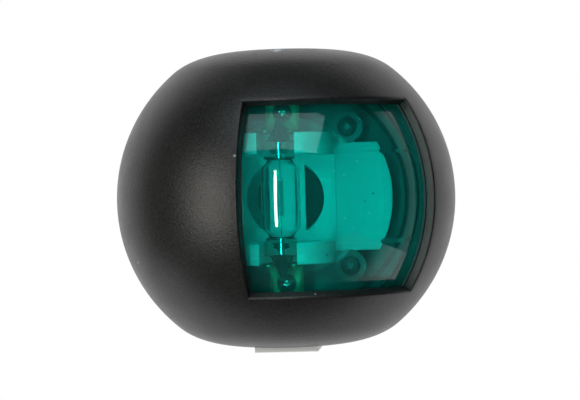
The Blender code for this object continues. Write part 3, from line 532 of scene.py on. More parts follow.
# (radius, height) points from the top flat's middle to the bottom flat's, with rounded shoulders
def globeSide(inset, count):
    radius, tall, flat = globeRadius - inset, globe["halfHeight"] - inset, flatHeight - inset
    start = flat - globe["shoulderDrop"]
    turn = math.asin(start / tall)
    side = [(radius * math.cos(a), tall * math.sin(a))
            for a in [turn * (1 - 2 * i / count) for i in range(count + 1)]]
    slope = tall * math.cos(turn) / (radius * math.sin(turn))
    corner = side[0][0] - (flat - start) / slope      # where the side's tangent meets the flat
    shoulder = []
    for i in range(16):
        t = i / 16
        across = (1 - t) ** 2 * globe["flatRadius"] + 2 * t * (1 - t) * corner + t * t * side[0][0]
        shoulder.append((across, (1 - t * t) * flat + t * t * start))
    top = [(0.0, flat), (globe["flatRadius"] * 0.5, flat)] + shoulder
    return top + side + [(r, -z) for r, z in reversed(top)]


# the whole globe as one closed skin, with the window sunk in it as a pocket with eased edges
def windowedGlobe(name):
    left, right, half = globe["windowLeft"], globe["windowRight"], globe["windowHalf"]
    steps = globe["columns"]
    inside = max(8, round(steps * (right - left) / math.tau))
    turns = [left + (right - left) * i / inside for i in range(inside + 1)]
    outside = steps - inside
    turns += [right + (math.tau - right + left) * i / outside for i in range(1, outside)]
    side = globeSide(0.0, globe["rows"])
    heights = [z for r, z in side]
    for edge in (half, -half):           # the nearest row moves onto the window's edge
        near = min(range(len(side)), key=lambda i: abs(heights[i] - edge))
        ring = globeRadius * math.sqrt(1 - (edge / globe["halfHeight"]) ** 2)
        side[near] = (ring, edge)
        heights[near] = edge
    topRow, bottomRow = heights.index(half), heights.index(-half)
    bm = bmesh.new()
    rows = []
    for radius, height in side:
        if radius == 0.0:
            rows.append([bm.verts.new((0, globeY, height))])
        else:
            rows.append([bm.verts.new((radius * math.sin(t), globeY - radius * math.cos(t),
                                       height)) for t in turns])
    count = len(turns)
    for i in range(len(rows) - 1):
        upper, lower = rows[i], rows[i + 1]
        for j in range(count):
            k = (j + 1) % count
            if topRow <= i < bottomRow and j < inside:
                continue
            if len(upper) == 1:
                bm.faces.new((upper[0], lower[j], lower[k]))
            elif len(lower) == 1:
                bm.faces.new((upper[j], lower[0], upper[k]))
            else:
                bm.faces.new((upper[j], lower[j], lower[k], upper[k]))
    for row in rows[topRow + 1:bottomRow]:
        for vert in row[1:inside]:
            bm.verts.remove(vert)

    # the pocket: the same outline again and again, eased over the edge and then straight in
    def outline(ease, inset):
        dTurn = ease / globeRadius
        points = []
        span = [(left + dTurn, right - dTurn), (half - ease, -half + ease)]
        across = [span[0][0] + (span[0][1] - span[0][0]) * i / inside for i in range(inside + 1)]
        down = [span[1][0] + (span[1][1] - span[1][0]) * (heights[i] - half) / (-2 * half)
                for i in range(topRow, bottomRow + 1)]
        points += [globePoint(t, down[0], inset) for t in across]
        points += [globePoint(across[-1], z, inset) for z in down[1:]]
        points += [globePoint(t, down[-1], inset) for t in reversed(across[:-1])]
        points += [globePoint(across[0], z, inset) for z in reversed(down[1:-1])]
        return points

    loop = [rows[topRow][j] for j in range(inside + 1)]
    loop += [rows[i][inside] for i in range(topRow + 1, bottomRow + 1)]
    loop += [rows[bottomRow][j] for j in reversed(range(inside))]
    loop += [rows[i][0] for i in reversed(range(topRow + 1, bottomRow))]
    ease = 0.55 * mm
    depths = [(ease * math.sin(a), ease * (1 - math.cos(a))) for a in [math.pi / 2 * i / 5 for i in range(1,
        6)]]
    depths += [(ease + 0.10 * mm, 1.4 * mm), (ease + 0.22 * mm, 2.6 * mm), (ease + 0.4 * mm, 5.0 * mm)]
    previous = loop
    for easing, inset in depths:
        current = [bm.verts.new(point) for point in outline(easing, inset)]
        for i in range(len(loop)):
            j = (i + 1) % len(loop)
            bm.faces.new((previous[i], previous[j], current[j], current[i]))
        previous = current
    # the pocket's floor is a grid between its last outline
    easing, inset = depths[-1]
    wide, tall = inside, bottomRow - topRow
    grid = [[None] * (wide + 1) for _ in range(tall + 1)]
    for j in range(wide + 1):
        grid[0][j] = previous[j]
        grid[tall][wide - j] = previous[wide + tall + j]
    for i in range(tall + 1):
        grid[i][wide] = previous[wide + i]
        if 0 < i < tall:
            grid[i][0] = previous[len(previous) - i]
    dTurn = easing / globeRadius
    for i in range(1, tall):
        height = (half - easing) * heights[topRow + i] / half
        for j in range(1, wide):
            turn = left + dTurn + (right - left - 2 * dTurn) * j / wide
            grid[i][j] = bm.verts.new(globePoint(turn, height, inset))
    for i in range(tall):
        for j in range(wide):
            bm.faces.new((grid[i][j], grid[i][j + 1], grid[i + 1][j + 1], grid[i + 1][j]))
    return newObject(name, meshFrom(bm, name))


def plainGlobe(name, inset, steps=96, count=40):
    side = globeSide(inset, count)
    return turned(name, side, place=(0, globeY, 0), steps=steps)


lock = {
    "slotHalf": 8.7 * mm, "tongueTop": -37.0 * mm, "forkBottom": -36.7 * mm, "forkTop": -34.7 * mm,
    "forkHalf": 14.0 * mm, "forkRear": -16.0 * mm, "forkFront": -36.0 * mm, "slit": 2.3 * mm,
    "slotFront": -38.3 * mm, "notchTop": -31.1 * mm, "armBottom": -34.4 * mm, "armTop": -31.4 * mm,
}
mouth = {"radius": 36.8 * mm, "depth": 8.0 * mm}


def arrowPrism(name, grow):
    markLow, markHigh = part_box("up_mark")
    half = (markHigh[0] - markLow[0]) / 2 + grow
    tip, rear = markLow[1] - grow, markHigh[1] + grow
    shoulder = markLow[1] + (markHigh[1] - markLow[1]) * 0.45 + grow
    stem = (markHigh[0] - markLow[0]) * 0.2 + grow
    outline = [(-stem, rear), (stem, rear), (stem, shoulder), (half, shoulder), (0, tip), (-half, shoulder),
               (-stem, shoulder)]
    bm = bmesh.new()
    face = bm.faces.new([bm.verts.new((x, y, markLow[2] - 3 * mm)) for x, y in outline])
    lifted = bmesh.ops.extrude_face_region(bm, geom=[face], use_keep_orig=True)
    for part in lifted["geom"]:
        if isinstance(part, bmesh.types.BMVert):
            part.co.z = flatHeight + 4 * mm
    bmesh.ops.recalc_face_normals(bm, faces=bm.faces[:])
    return newObject(name, meshFrom(bm, name))


def buildCover():
    far = 0.2
    wall = globe["wall"]
    shell = windowedGlobe("coverShell")
    mouthEnd = mouthY - mouth["depth"]
    hollow = plainGlobe("hollow", wall)
    boolean(hollow, block("hollowEnd", (-far, mouthEnd, -far), (far, far, far)))
    flare = 0.5 * mm
    bore = turned("bore", [(0, -mouthEnd + 2 * wall), (mouth["radius"], -mouthEnd + 2 * wall),
                           (mouth["radius"], -mouthY + flare),
                           (mouth["radius"] + 2 * flare, -mouthY - flare),
                           (mouth["radius"] + 2 * flare, -0.02), (0, -0.02)], toward="front", steps=128)
    back = block("back", (-far, mouthY, -far), (far, far, far))
    boolean(shell, back, hollow, bore)
    fork = block("fork", (-lock["forkHalf"], lock["forkFront"], -flatHeight + wall / 2),
                 (lock["forkHalf"], lock["forkRear"], lock["forkTop"]))
    boolean(shell, fork, how="UNION")
    slot = block("slot", (-lock["slotHalf"], lock["slotFront"], -far),
                 (lock["slotHalf"], far, lock["forkBottom"]))
    notch = block("notch", (-lock["slotHalf"], lock["forkRear"], -far),
                  (lock["slotHalf"], far, lock["notchTop"]))
    slit = block("slit", (-lock["slit"], globeY, -0.0405), (lock["slit"], 0, -0.032))
    eye = roundBar("eye", lock["slit"], (0, globeY, -0.0405), (0, globeY, -0.032))
    recess = arrowPrism("recess", 0.12 * mm)
    boolean(recess, plainGlobe("floor", 0.9 * mm))
    boolean(shell, slot, notch, slit, eye, recess)
    finishPiece(shell, grainedBlack, "cover", "black_plastic", "cover_shell")
    mark = arrowPrism("upArrow", 0.0)
    boolean(mark, plainGlobe("skin", 0.02 * mm), how="INTERSECT")
    boolean(mark, plainGlobe("under", 0.7 * mm))
    finishPiece(mark, paleInk, "cover", "mark_paint", "up_mark")


# a closed panel that follows the globe: outer is its inset, innerAt(height) the inset of its inner face
def curvedPanel(name, left, right, half, outer, innerAt, columns, rows, hole=None):
    bm = bmesh.new()
    faces = {"out": [], "in": []}
    for i in range(rows + 1):
        height = half - 2 * half * i / rows
        for which, inset in (("out", outer), ("in", innerAt(height))):
            ringRadius = globeRadius - inset
            tall = globe["halfHeight"] - inset
            ring = ringRadius * math.sqrt(1 - (height / tall) ** 2)
            turns = [left + (right - left) * j / columns for j in range(columns + 1)]
            faces[which].append([bm.verts.new((ring * math.sin(turn), globeY - ring * math.cos(turn), height))
                                 for turn in turns])
    missing = set()
    if hole:
        missing = {(i, j) for i in range(rows) for j in range(columns) if hole(i, j)}
    solid = [(i, j) for i in range(rows) for j in range(columns) if (i, j) not in missing]
    filled = set(solid)
    a, b = faces["out"], faces["in"]
    for i, j in solid:
        bm.faces.new((a[i][j], a[i + 1][j], a[i + 1][j + 1], a[i][j + 1]))
        bm.faces.new((b[i][j], b[i][j + 1], b[i + 1][j + 1], b[i + 1][j]))
        if (i - 1, j) not in filled:
            bm.faces.new((a[i][j], a[i][j + 1], b[i][j + 1], b[i][j]))
        if (i + 1, j) not in filled:
            bm.faces.new((a[i + 1][j + 1], a[i + 1][j], b[i + 1][j], b[i + 1][j + 1]))
        if (i, j - 1) not in filled:
            bm.faces.new((a[i + 1][j], a[i][j], b[i][j], b[i + 1][j]))
        if (i, j + 1) not in filled:
            bm.faces.new((a[i][j + 1], a[i + 1][j + 1], b[i + 1][j + 1], b[i][j + 1]))
    for vert in [v for v in bm.verts if not v.link_faces]:
        bm.verts.remove(vert)
    return newObject(name, meshFrom(bm, name, smoothAngle=50))


lens = {
    "margin": math.radians(3.6), "marginHeight": 2.6 * mm, "outer": 3.4 * mm, "thickness": 2.2 * mm,
    "ringAt": 11.0 * mm, "ringStep": 0.10 * mm, "ringSlope": 0.5 * mm, "columns": 96, "rows": 108,
}
lensSeal = {"outer": 2.5 * mm, "inner": 3.1 * mm, "columns": 88, "rows": 54}


def buildLens():
    left, right = globe["windowLeft"] - lens["margin"], globe["windowRight"] + lens["margin"]
    half = globe["windowHalf"] + lens["marginHeight"]

    def inner(height):                  # the inner face steps in beyond the lamp's focal band
        step = min(1.0, max(0.0, (abs(height) - lens["ringAt"]) / lens["ringSlope"]))
        return lens["outer"] + lens["thickness"] - lens["ringStep"] * (1 - step)

    panel = curvedPanel("lensPanel", left, right, half, lens["outer"], inner, lens["columns"], lens["rows"])
    finishPiece(panel, seaGreen, "cover", "green_lens", "lens")

    columns, rows = lensSeal["columns"], lensSeal["rows"]
    sideCells = math.ceil((lens["margin"] + 0.012) / (right - left) * columns)
    endCells = math.ceil((lens["marginHeight"] + 0.5 * mm) / (2 * half) * rows)
    seal = curvedPanel("lensSeal", left, right, half, lensSeal["outer"], lambda z: lensSeal["inner"],
                       columns, rows,
                       hole=lambda i,
                       j: endCells <= i < rows - endCells and sideCells <= j < columns - sideCells)
    finishPiece(seal, sealRubber, "cover", "rubber", "lens_gasket")


buildCover()
buildLens()
print("cover and lens made")


# the festoon lamp
lamp = {
    "glassRadius": 5.1 * mm, "glassWall": 0.55 * mm, "neck": 3.35 * mm, "neckEnd": 14.0 * mm,
    "bareHalf": 9.6 * mm,
    "capRadius": 4.2 * mm, "capStart": 10.2 * mm, "shoulder": 15.0 * mm, "tip": 20.5 * mm,
    "coilRadius": 0.75 * mm, "wire": 0.11 * mm, "turns": 16, "coilHalf": 4.6 * mm,
}


def buildLamp():
    r, wall = lamp["glassRadius"], lamp["glassWall"]
    outer = [(lamp["neck"], lamp["neckEnd"]), (lamp["neck"], lamp["bareHalf"] + 1.1 * mm)]
    for i in range(9):                  # the shoulder from the neck to the tube
        t = i / 8
        ease = 0.5 - 0.5 * math.cos(math.pi * t)
        outer.append((lamp["neck"] + (r - lamp["neck"]) * ease, lamp["bareHalf"] + 0.6 * mm - 3.0 * mm * t))
    outer.append((r, 3.0 * mm))
    half = outer + [(radius, -height) for radius, height in reversed(outer)]
    inner = [(radius - wall, height) for radius, height in reversed(half)]
    tube = turned("lampTube", half + inner, place=(0, lampY, 0), steps=64, closed=True)
    finishPiece(tube, drawnGlass, "lamp", "clear_glass", "lamp_glass")
    radius, start, shoulder, tip = lamp["capRadius"], lamp["capStart"], lamp["shoulder"], lamp["tip"]
    cap = [(0, tip)] + arc((0.35 * mm, tip - 0.65 * mm), 0.65 * mm, 90, 15, 5)
    cap += [(1.35 * mm, tip - 1.9 * mm), (2.1 * mm, tip - 3.4 * mm), (3.1 * mm, shoulder + 0.35 * mm)]
    cap += arc((radius - 0.7 * mm, shoulder - 0.5 * mm), 0.7 * mm, 75, 0, 5)
    cap += [(radius, start + 2.5 * mm), (radius - 0.12 * mm, start + 2.2 * mm),
            (radius - 0.12 * mm, start + 1.9 * mm),
            (radius, start + 1.6 * mm), (radius, start + 0.2 * mm), (radius - 0.15 * mm, start)]
    bore = radius - 0.5 * mm
    cap += [(bore, start), (bore, shoulder - 0.6 * mm), (0, shoulder - 0.6 * mm)]
    for name, way, nodeName in (("lampCapUpper", "up", "lamp_cap_upper"),
                                ("lampCapLower", "down", "lamp_cap_lower")):
        piece = turned(name, cap, place=(0, lampY, 0), toward=way, steps=64)
        finishPiece(piece, nickelPlate, "lamp", "nickel", nodeName)
    points = [(0, 0, -13.9 * mm), (0, 0, -lamp["coilHalf"] - 1.2 * mm),
              (0.25 * mm, 0, -lamp["coilHalf"] - 0.5 * mm)]
    perTurn = 12
    for i in range(lamp["turns"] * perTurn + 1):
        angle = math.tau * i / perTurn
        height = lamp["coilHalf"] * (2 * i / (lamp["turns"] * perTurn) - 1)
        points.append((lamp["coilRadius"] * math.cos(angle), lamp["coilRadius"] * math.sin(angle), height))
    points += [(0.25 * mm, 0, lamp["coilHalf"] + 0.5 * mm), (0, 0, lamp["coilHalf"] + 1.2 * mm),
               (0, 0, 13.9 * mm)]
    curve = bpy.data.curves.new("filamentCoil", "CURVE")
    curve.dimensions = "3D"
    curve.bevel_depth = lamp["wire"]
    curve.bevel_resolution = 2
    curve.use_fill_caps = True
    spline = curve.splines.new("POLY")
    spline.points.add(len(points) - 1)
    for point, place in zip(spline.points, points):
        point.co = (place[0], place[1] + lampY, place[2], 1.0)
    wire = newObject("filamentCoil", curve)
    bpy.context.view_layer.update()
    mesh = bpy.data.meshes.new_from_object(wire.evaluated_get(bpy.context.evaluated_depsgraph_get()))
    bpy.data.objects.remove(wire)
    bm = bmesh.new()
    bm.from_mesh(mesh)
    bmesh.ops.remove_doubles(bm, verts=bm.verts[:], dist=1e-7)
    coil = newObject("filamentCoil", meshFrom(bm, "filamentCoil", smoothAngle=60))
    finishPiece(coil, tungstenWire, "lamp", "tungsten", "lamp_filament")


buildLamp()
print("lamp made")


# what holds the lamp
carrier = {
    "rear": -24.6 * mm, "front": -27.0 * mm, "halfWidth": 19.0 * mm, "halfHeight": 15.0 * mm,
    "hole": 10.5 * mm,
    "barHalf": 5.4 * mm,
    "shelfRadius": 14.0 * mm, "shelfInner": 11.8 * mm, "shelfOuter": 16.8 * mm, "slot": 4.8 * mm,
    "screwX": 17.2 * mm, "screwZ": 18.8 * mm, "ear": 4.2 * mm, "screwHole": 1.6 * mm, "rivetY": -33.5 * mm,
}


def screwPlaces():
    return [(side * carrier["screwX"], level * carrier["screwZ"]) for level in (1, -1) for side in (-1, 1)]


def buildCarrier():
    c = carrier
    body = block("lampCarrier", (-c["halfWidth"], c["front"], -c["halfHeight"]),
                 (c["halfWidth"], c["rear"], c["halfHeight"]))
    ears = [roundBar("ear", c["ear"], (x, c["front"], z), (x, c["rear"], z)) for x, z in screwPlaces()]
    shelves = []
    for level in (1, -1):
        low, high = sorted((level * c["shelfInner"], level * c["shelfOuter"]))
        shelves.append(block("web", (-c["shelfRadius"] * 0.8, lampY, low),
                             (c["shelfRadius"] * 0.8, -25.8 * mm, high)))
        shelves.append(roundBar("disc", c["shelfRadius"], (0, lampY, low), (0, lampY, high), steps=96))
    boolean(body, *ears, *shelves, how="UNION")
    hole = roundBar("hole", c["hole"], (0, 0, 0), (0, c["front"] - mm, 0), steps=96)
    boolean(hole, block("bar", (-c["barHalf"], -0.1, -0.1), (c["barHalf"], 0.1, 0.1)))
    cuts = [block("slot", (-c["slot"], -0.1, -0.05), (c["slot"], lampY, 0.05)),
            roundBar("slotEnd", c["slot"], (0, lampY, -0.05), (0, lampY, 0.05), steps=64),
            hole]
    for level in (1, -1):
        cuts.append(roundBar("rivetHole", c["screwHole"], (0, c["rivetY"], level * 13.6 * mm),
                             (0, c["rivetY"], level * 17.5 * mm)))
        low, high = sorted((level * 14.1 * mm, level * 14.5 * mm))
        rim = turned("groove", [(c["shelfRadius"] + mm, high), (c["shelfRadius"] + mm, low),
                                (c["shelfRadius"] - 0.3 * mm, low), (c["shelfRadius"] - 0.3 * mm, high)],
                     place=(0, lampY, 0), closed=True)
        boolean(rim, block("half", (-0.1, lampY, -0.1), (0.1, 0.1, 0.1)))
        cuts.append(rim)
    cuts += [roundBar("earHole", c["screwHole"], (x, 0, z), (x, -0.1, z)) for x, z in screwPlaces()]
    boolean(body, *cuts)
    roundEdges(body, 0.35 * mm)
    # painted shade: the carrier's ears darken in the ring of painted shade
    finishPiece(body, whiteWithPaintedShade, "base", "white_plastic", "lamp_carrier")


def buildReflector():
    low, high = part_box("reflector_panel")
    panel = block("reflectorPanel", tuple(low), tuple(high))
    boolean(panel, roundBar("edge", high[0], (0, 0.01, 0), (0, -0.1, 0), steps=160), how="INTERSECT")
    cuts = [roundBar("relief", carrier["ear"] + 0.3 * mm, (carrier["screwX"], 0, level * carrier["screwZ"]),
                     (carrier["screwX"], -0.1, level * carrier["screwZ"])) for level in (1, -1)]
    cuts.append(block("dish", (low[0] + 1.0 * mm, -0.1, low[2] + 1.2 * mm),
                      (high[0] - 2.6 * mm, low[1] + 0.35 * mm, high[2] - 1.2 * mm)))
    boolean(panel, *cuts)
    roundEdges(panel, 0.25 * mm)
    finishPiece(panel, satinWhite, "base", "white_plastic", "reflector_panel")


# two crossed, slightly tapered slots, sunk into a screw head at a point. facing is (x, y, z)
def crossRecess(x, y, z, size, depth, facing):
    along = Vector(facing)
    tools = []
    for turn in (0, math.pi / 2):
        bm = bmesh.new()
        bmesh.ops.create_cube(bm, size=1.0)
        for vert in bm.verts:
            taper = 1.0 if vert.co.z > 0 else 0.62
            vert.co = (vert.co.x * size * taper, vert.co.y * size * 0.24 * taper, vert.co.z * depth * 2)
        piece = newObject("recess", meshFrom(bm, "recess", fix=False))
        piece.matrix_world = (along.to_track_quat("Z", "Y").to_matrix().to_4x4())
        spin = Matrix.Rotation(turn, 4, along)
        piece.matrix_world = Matrix.Translation((x, y, z)) @ spin @ piece.matrix_world
        bpy.context.view_layer.update()
        tools.append(piece)
    return tools


smallScrew = {"head": 2.6 * mm, "height": 1.6 * mm, "shank": 1.3 * mm, "pitch": 0.7 * mm}


# ring grooves that read as a thread, listed down the shank's side
def threadedShank(radius, top, bottom, pitch, depth):
    points = [(radius, top)]
    height = top - pitch * 0.5
    while height - pitch > bottom:
        points += [(radius, height), (radius - depth, height - pitch / 2), (radius, height - pitch * 0.95)]
        height -= pitch
    points += [(radius, bottom + 0.3 * mm), (radius - 0.3 * mm, bottom)]
    return points


def panHeadScrew(name, x, z, under, length, look, body, slot, nodeName):
    s = smallScrew
    head = [(0, under + s["height"]), (s["head"] * 0.35, under + s["height"] * 0.985)]
    head += [(s["head"] * math.sin(a), under + s["height"] * (0.35 + 0.62 * math.cos(a)))
             for a in [math.radians(35 + 55 * i / 6) for i in range(7)]]
    head += [(s["head"], under + 0.1 * mm), (s["head"] - 0.1 * mm, under)]
    shank = threadedShank(s["shank"], under, under - length, s["pitch"], 0.22 * mm)
    piece = turned(name, head + shank + [(0, under - length)], place=(x, 0, z), toward="front", steps=48)
    boolean(piece, *crossRecess(x, -under - s["height"], z, s["head"] * 1.15, s["height"] * 0.6, (0, -1, 0)))
    return finishPiece(piece, look, body, slot, nodeName)


def buildScrews():
    for number, (x, z) in enumerate(screwPlaces(), 1):
        # painted shade: the carrier screws take the steel darkened for the shade behind the panel
        panHeadScrew(f"carrierScrew{number}", x, z, -carrier["front"] + 0.3 * mm, 8.0 * mm, shadeDarkenedSteel,
                     "base", "steel", f"carrier_screw_{number}")
    for side in ("upper", "lower"):
        low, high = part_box(f"terminal_screw_{side}")
        middle = (low[2] + high[2]) / 2
        panHeadScrew(f"terminalScrew{side.title()}", 0, middle, -low[1] - smallScrew["height"],
                     high[1] - low[1] - smallScrew["height"], nickelPlate, f"contact_{side}", "nickel",
                     f"terminal_screw_{side}")


strip = {"half": 4.6 * mm, "thick": 0.6 * mm, "grip": 2.75 * mm}


# forked brass strips, bent up at the back into a tab for the wire's screw
def buildContacts():
    for side, level in (("upper", 1), ("lower", -1)):
        low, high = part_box(f"contact_{side}")
        face = low[2] if level > 0 else high[2]
        rear, front = high[1], low[1]
        tabEnd = high[2] if level > 0 else low[2]
        bend, thick = 1.2 * mm, strip["thick"]
        profile = [(front, face), (rear - bend, face)]
        profile += [(rear - bend + bend * math.sin(a), face + level * bend * (1 - math.cos(a)))
                    for a in [math.radians(90 * i / 6) for i in range(1, 7)]]
        profile += [(rear, tabEnd), (rear - thick, tabEnd)]
        profile += [(rear - bend + (bend - thick) * math.sin(a),
                     face + level * (bend - (bend - thick) * math.cos(a)))
                    for a in [math.radians(90 - 90 * i / 6) for i in range(0, 7)]]
        profile += [(front, face + level * thick)]
        piece = sidePlate(f"contact{side.title()}", profile, strip["half"])
        cuts = [block("grip", (-strip["grip"], -0.1, -0.1), (strip["grip"], lampY, 0.1)),
                roundBar("gripEnd", strip["grip"], (0, lampY, -0.1), (0, lampY, 0.1)),
                roundBar("rivetHole", 1.6 * mm, (0, carrier["rivetY"], -0.1), (0, carrier["rivetY"], 0.1))]
        middle = sum(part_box(f"terminal_screw_{side}")[k][2] for k in (0, 1)) / 2
        cuts.append(roundBar("tabHole", 1.6 * mm, (0, rear + mm, middle), (0, rear - 2 * mm, middle)))
        for x in (-1, 1):                # clipped corners
            for y, z0 in ((front, face),):
                corner = roundBar("corner", 1.6 * mm, (x * (strip["half"] + 0.35 * mm), y - 0.35 * mm,
                                                       z0 - 2 * mm),
                                  (x * (strip["half"] + 0.35 * mm), y - 0.35 * mm, z0 + 2 * mm), steps=4)
                cuts.append(corner)
        boolean(piece, *cuts)
        roundEdges(piece, 0.08 * mm, segments=2)
        finishPiece(piece, springBrass, f"contact_{side}", "brass", f"contact_{side}")
        low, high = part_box(f"contact_rivet_{side}")
        top = max(abs(low[2]), abs(high[2]))
        under = face * level + strip["thick"] + 0.3 * mm
        rise = top - under
        dome = [(2.34 * mm * math.sin(a),
                 under + rise * math.cos(a)) for a in [math.radians(90 * i / 8) for i in range(9)]]
        dome += [(1.3 * mm, under), (1.3 * mm, 13.8 * mm), (1.0 * mm, 13.6 * mm), (0, 13.6 * mm)]
        rivet = turned(f"contactRivet{side.title()}", dome, place=(0, carrier["rivetY"], 0),
                       toward="up" if level > 0 else "down", steps=48)
        finishPiece(rivet, nickelPlate, "base", "nickel", f"contact_rivet_{side}")


buildCarrier()
buildReflector()
buildScrews()
buildContacts()
print("carrier, panel, screws and contacts made")


# the base, its seals and the lock
base = {
    "floorFront": 5.3 * mm, "rimFront": 10.8 * mm, "spigot": 36.5 * mm, "rimWall": 3.2 * mm,
    "groove": 34.6 * mm,
    "sealAt": 8.0 * mm, "sealHalf": 1.1 * mm, "post": 3.4 * mm, "wallHole": 2.25 * mm,
    "wallHoleZ": 28.0 * mm,
    "tongueHalf": 8.4 * mm, "tongueBottom": -41.0 * mm, "tongueFront": -38.0 * mm,
}


def buildBase():
    b = base
    inner = b["spigot"] - b["rimWall"]
    rear = -mouthY
    profile = [(0, b["floorFront"]), (inner - 1.0 * mm, b["floorFront"])]
    profile += [(inner - 1.0 * mm + 1.0 * mm * math.sin(a), b["floorFront"] + 1.0 * mm * (1 - math.cos(a)))
                for a in [math.radians(90 * i / 5) for i in range(1, 6)]]
    profile += [(inner, b["rimFront"] - 0.4 * mm), (inner + 0.4 * mm, b["rimFront"]),
                (b["spigot"] - 0.5 * mm, b["rimFront"]),
                (b["spigot"], b["rimFront"] - 0.5 * mm), (b["spigot"], b["sealAt"] + b["sealHalf"]),
                (b["groove"], b["sealAt"] + b["sealHalf"]), (b["groove"], b["sealAt"] - b["sealHalf"]),
                (b["spigot"], b["sealAt"] - b["sealHalf"]), (b["spigot"], rear), (0, rear)]
    plate = turned("basePlate", profile, toward="front", steps=160)
    adds = [roundBar("post", b["post"], (x, -b["floorFront"] + mm, z),
                     (x, carrier["rear"] + 0.3 * mm, z)) for x, z in screwPlaces()]
    for x, z in screwPlaces():           # thin gussets that stiffen each post
        for turn in range(3):
            angle = math.atan2(z, x) + math.tau * turn / 3
            rib = block("gusset", (0, -19.0 * mm, -0.5 * mm), (5.4 * mm, -b["floorFront"] + mm, 0.5 * mm))
            for vert in rib.data.vertices:
                if vert.co.y < -15 * mm and vert.co.x > 1 * mm:
                    vert.co.x = 3.2 * mm
            rib.rotation_euler = (0, -angle, 0)
            rib.location = (x, 0, z)
            adds.append(rib)
    ease = 0.8 * mm
    tongue = sidePlate("tongue", [
        (mouthY, -inner), (-6.9 * mm, -inner), (-6.9 * mm, lock["tongueTop"]),
        (b["tongueFront"], lock["tongueTop"]),
        (b["tongueFront"], b["tongueBottom"] + ease),
        (b["tongueFront"] + ease * 0.3, b["tongueBottom"] + ease * 0.3),
        (b["tongueFront"] + ease, b["tongueBottom"]), (-11.0 * mm, b["tongueBottom"]),
        (mouthY, lock["tongueTop"]),
    ], b["tongueHalf"])
    arm = block("arm", (-7.0 * mm, -29.0 * mm, lock["armBottom"]), (7.0 * mm, -9.2 * mm, lock["armTop"]))
    bpy.context.view_layer.update()
    boolean(plate, *adds, tongue, arm, how="UNION")
    cuts = [roundBar("pilot", 1.6 * mm, (x, -19.0 * mm, z), (x, -0.1, z), steps=32)
            for x, z in screwPlaces()]
    cuts += [roundBar("wallHole", b["wallHole"], (0, 0.01, level * b["wallHoleZ"]),
                      (0, -0.012, level * b["wallHoleZ"]))
             for level in (1, -1)]
    cuts += [roundBar("inlet", 5.3 * mm, (0, 0.01, 0), (0, -0.012, 0), steps=64),
             roundBar("insertHole", 3.3 * mm, (0, globeY, lock["armBottom"] - 0.3 * mm),
                      (0, globeY, lock["armTop"] + 0.3 * mm)),
             roundBar("shankHole", 2.3 * mm, (0, globeY, -0.05), (0, globeY, lock["forkBottom"])),
             roundBar("counterbore", 4.3 * mm, (0, globeY, -0.05), (0, globeY, -38.4 * mm), steps=64)]
    boolean(plate, *cuts)
    roundEdges(plate, 0.15 * mm, segments=2)
    # painted shade: the base darkens inside its rim in the same ring of painted shade
    finishPiece(plate, whiteWithPaintedShade, "base", "white_plastic", "base_plate")


def buildBaseSeals():
    ring = base["spigot"] - 0.8 * mm
    seal = turned("coverSeal", [(ring + 0.8 * mm * math.cos(-math.tau * i / 20),
                                 base["sealAt"] + 0.8 * mm * math.sin(-math.tau * i / 20))
                                for i in range(20)], toward="front", steps=160, closed=True)
    finishPiece(seal, sealRubber, "base", "rubber", "cover_seal")
    low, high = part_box("wall_gasket")
    outer, thick = high[0], -low[1]
    profile = [(0, thick), (outer - 0.4 * mm, thick), (outer - 0.1 * mm, thick - 0.1 * mm),
               (outer, thick - 0.4 * mm),
               (outer, 0.3 * mm), (outer - 0.3 * mm, 0)]
    for radius in (35.0 * mm, 33.4 * mm, 31.8 * mm):    # moulded sealing rings on the wall side
        profile += [(radius + 0.5 * mm, 0), (radius + 0.3 * mm, 0.25 * mm), (radius - 0.3 * mm, 0.25 * mm),
                    (radius - 0.5 * mm, 0)]
    profile += [(0, 0)]
    pad = turned("wallPad", profile, toward="front", steps=160)
    cuts = [roundBar("hole", base["wallHole"], (0, 0.01, level * base["wallHoleZ"]),
                     (0, -0.01, level * base["wallHoleZ"]))
            for level in (1, -1)]
    boolean(pad, *cuts, roundBar("centre", 5.3 * mm, (0, 0.01, 0), (0, -0.01, 0), steps=64))
    finishPiece(pad, sealRubber, "base", "rubber", "wall_gasket")
    profile = [(0, 1.5 * mm), (2.0 * mm, 1.5 * mm), (2.5 * mm, 2.0 * mm), (2.5 * mm, 12.6 * mm),
               (2.9 * mm, 13.05 * mm), (3.3 * mm, 13.05 * mm)]
    for step in range(3):                # the nose is stepped, so that it flexes round a cable
        radius, height = 3.6 * mm + step * 0.45 * mm, 12.2 * mm - step * 1.8 * mm
        profile += [(radius, height), (radius + 0.1 * mm, height - 0.9 * mm),
                    (radius - 0.25 * mm, height - 1.2 * mm)]
    profile += [(5.0 * mm, 7.4 * mm), (5.6 * mm, 7.1 * mm), (9.1 * mm, 7.1 * mm), (9.4 * mm, 6.9 * mm),
                (9.5 * mm, 6.4 * mm),
                (9.4 * mm, 5.7 * mm), (9.1 * mm, 5.6 * mm), (5.0 * mm, 5.6 * mm), (5.0 * mm, 0.3 * mm),
                (4.7 * mm, 0), (0, 0)]
    grommet = turned("cableGrommet", profile, toward="front", steps=80)
    finishPiece(grommet, sealRubber, "base", "rubber", "cable_grommet")


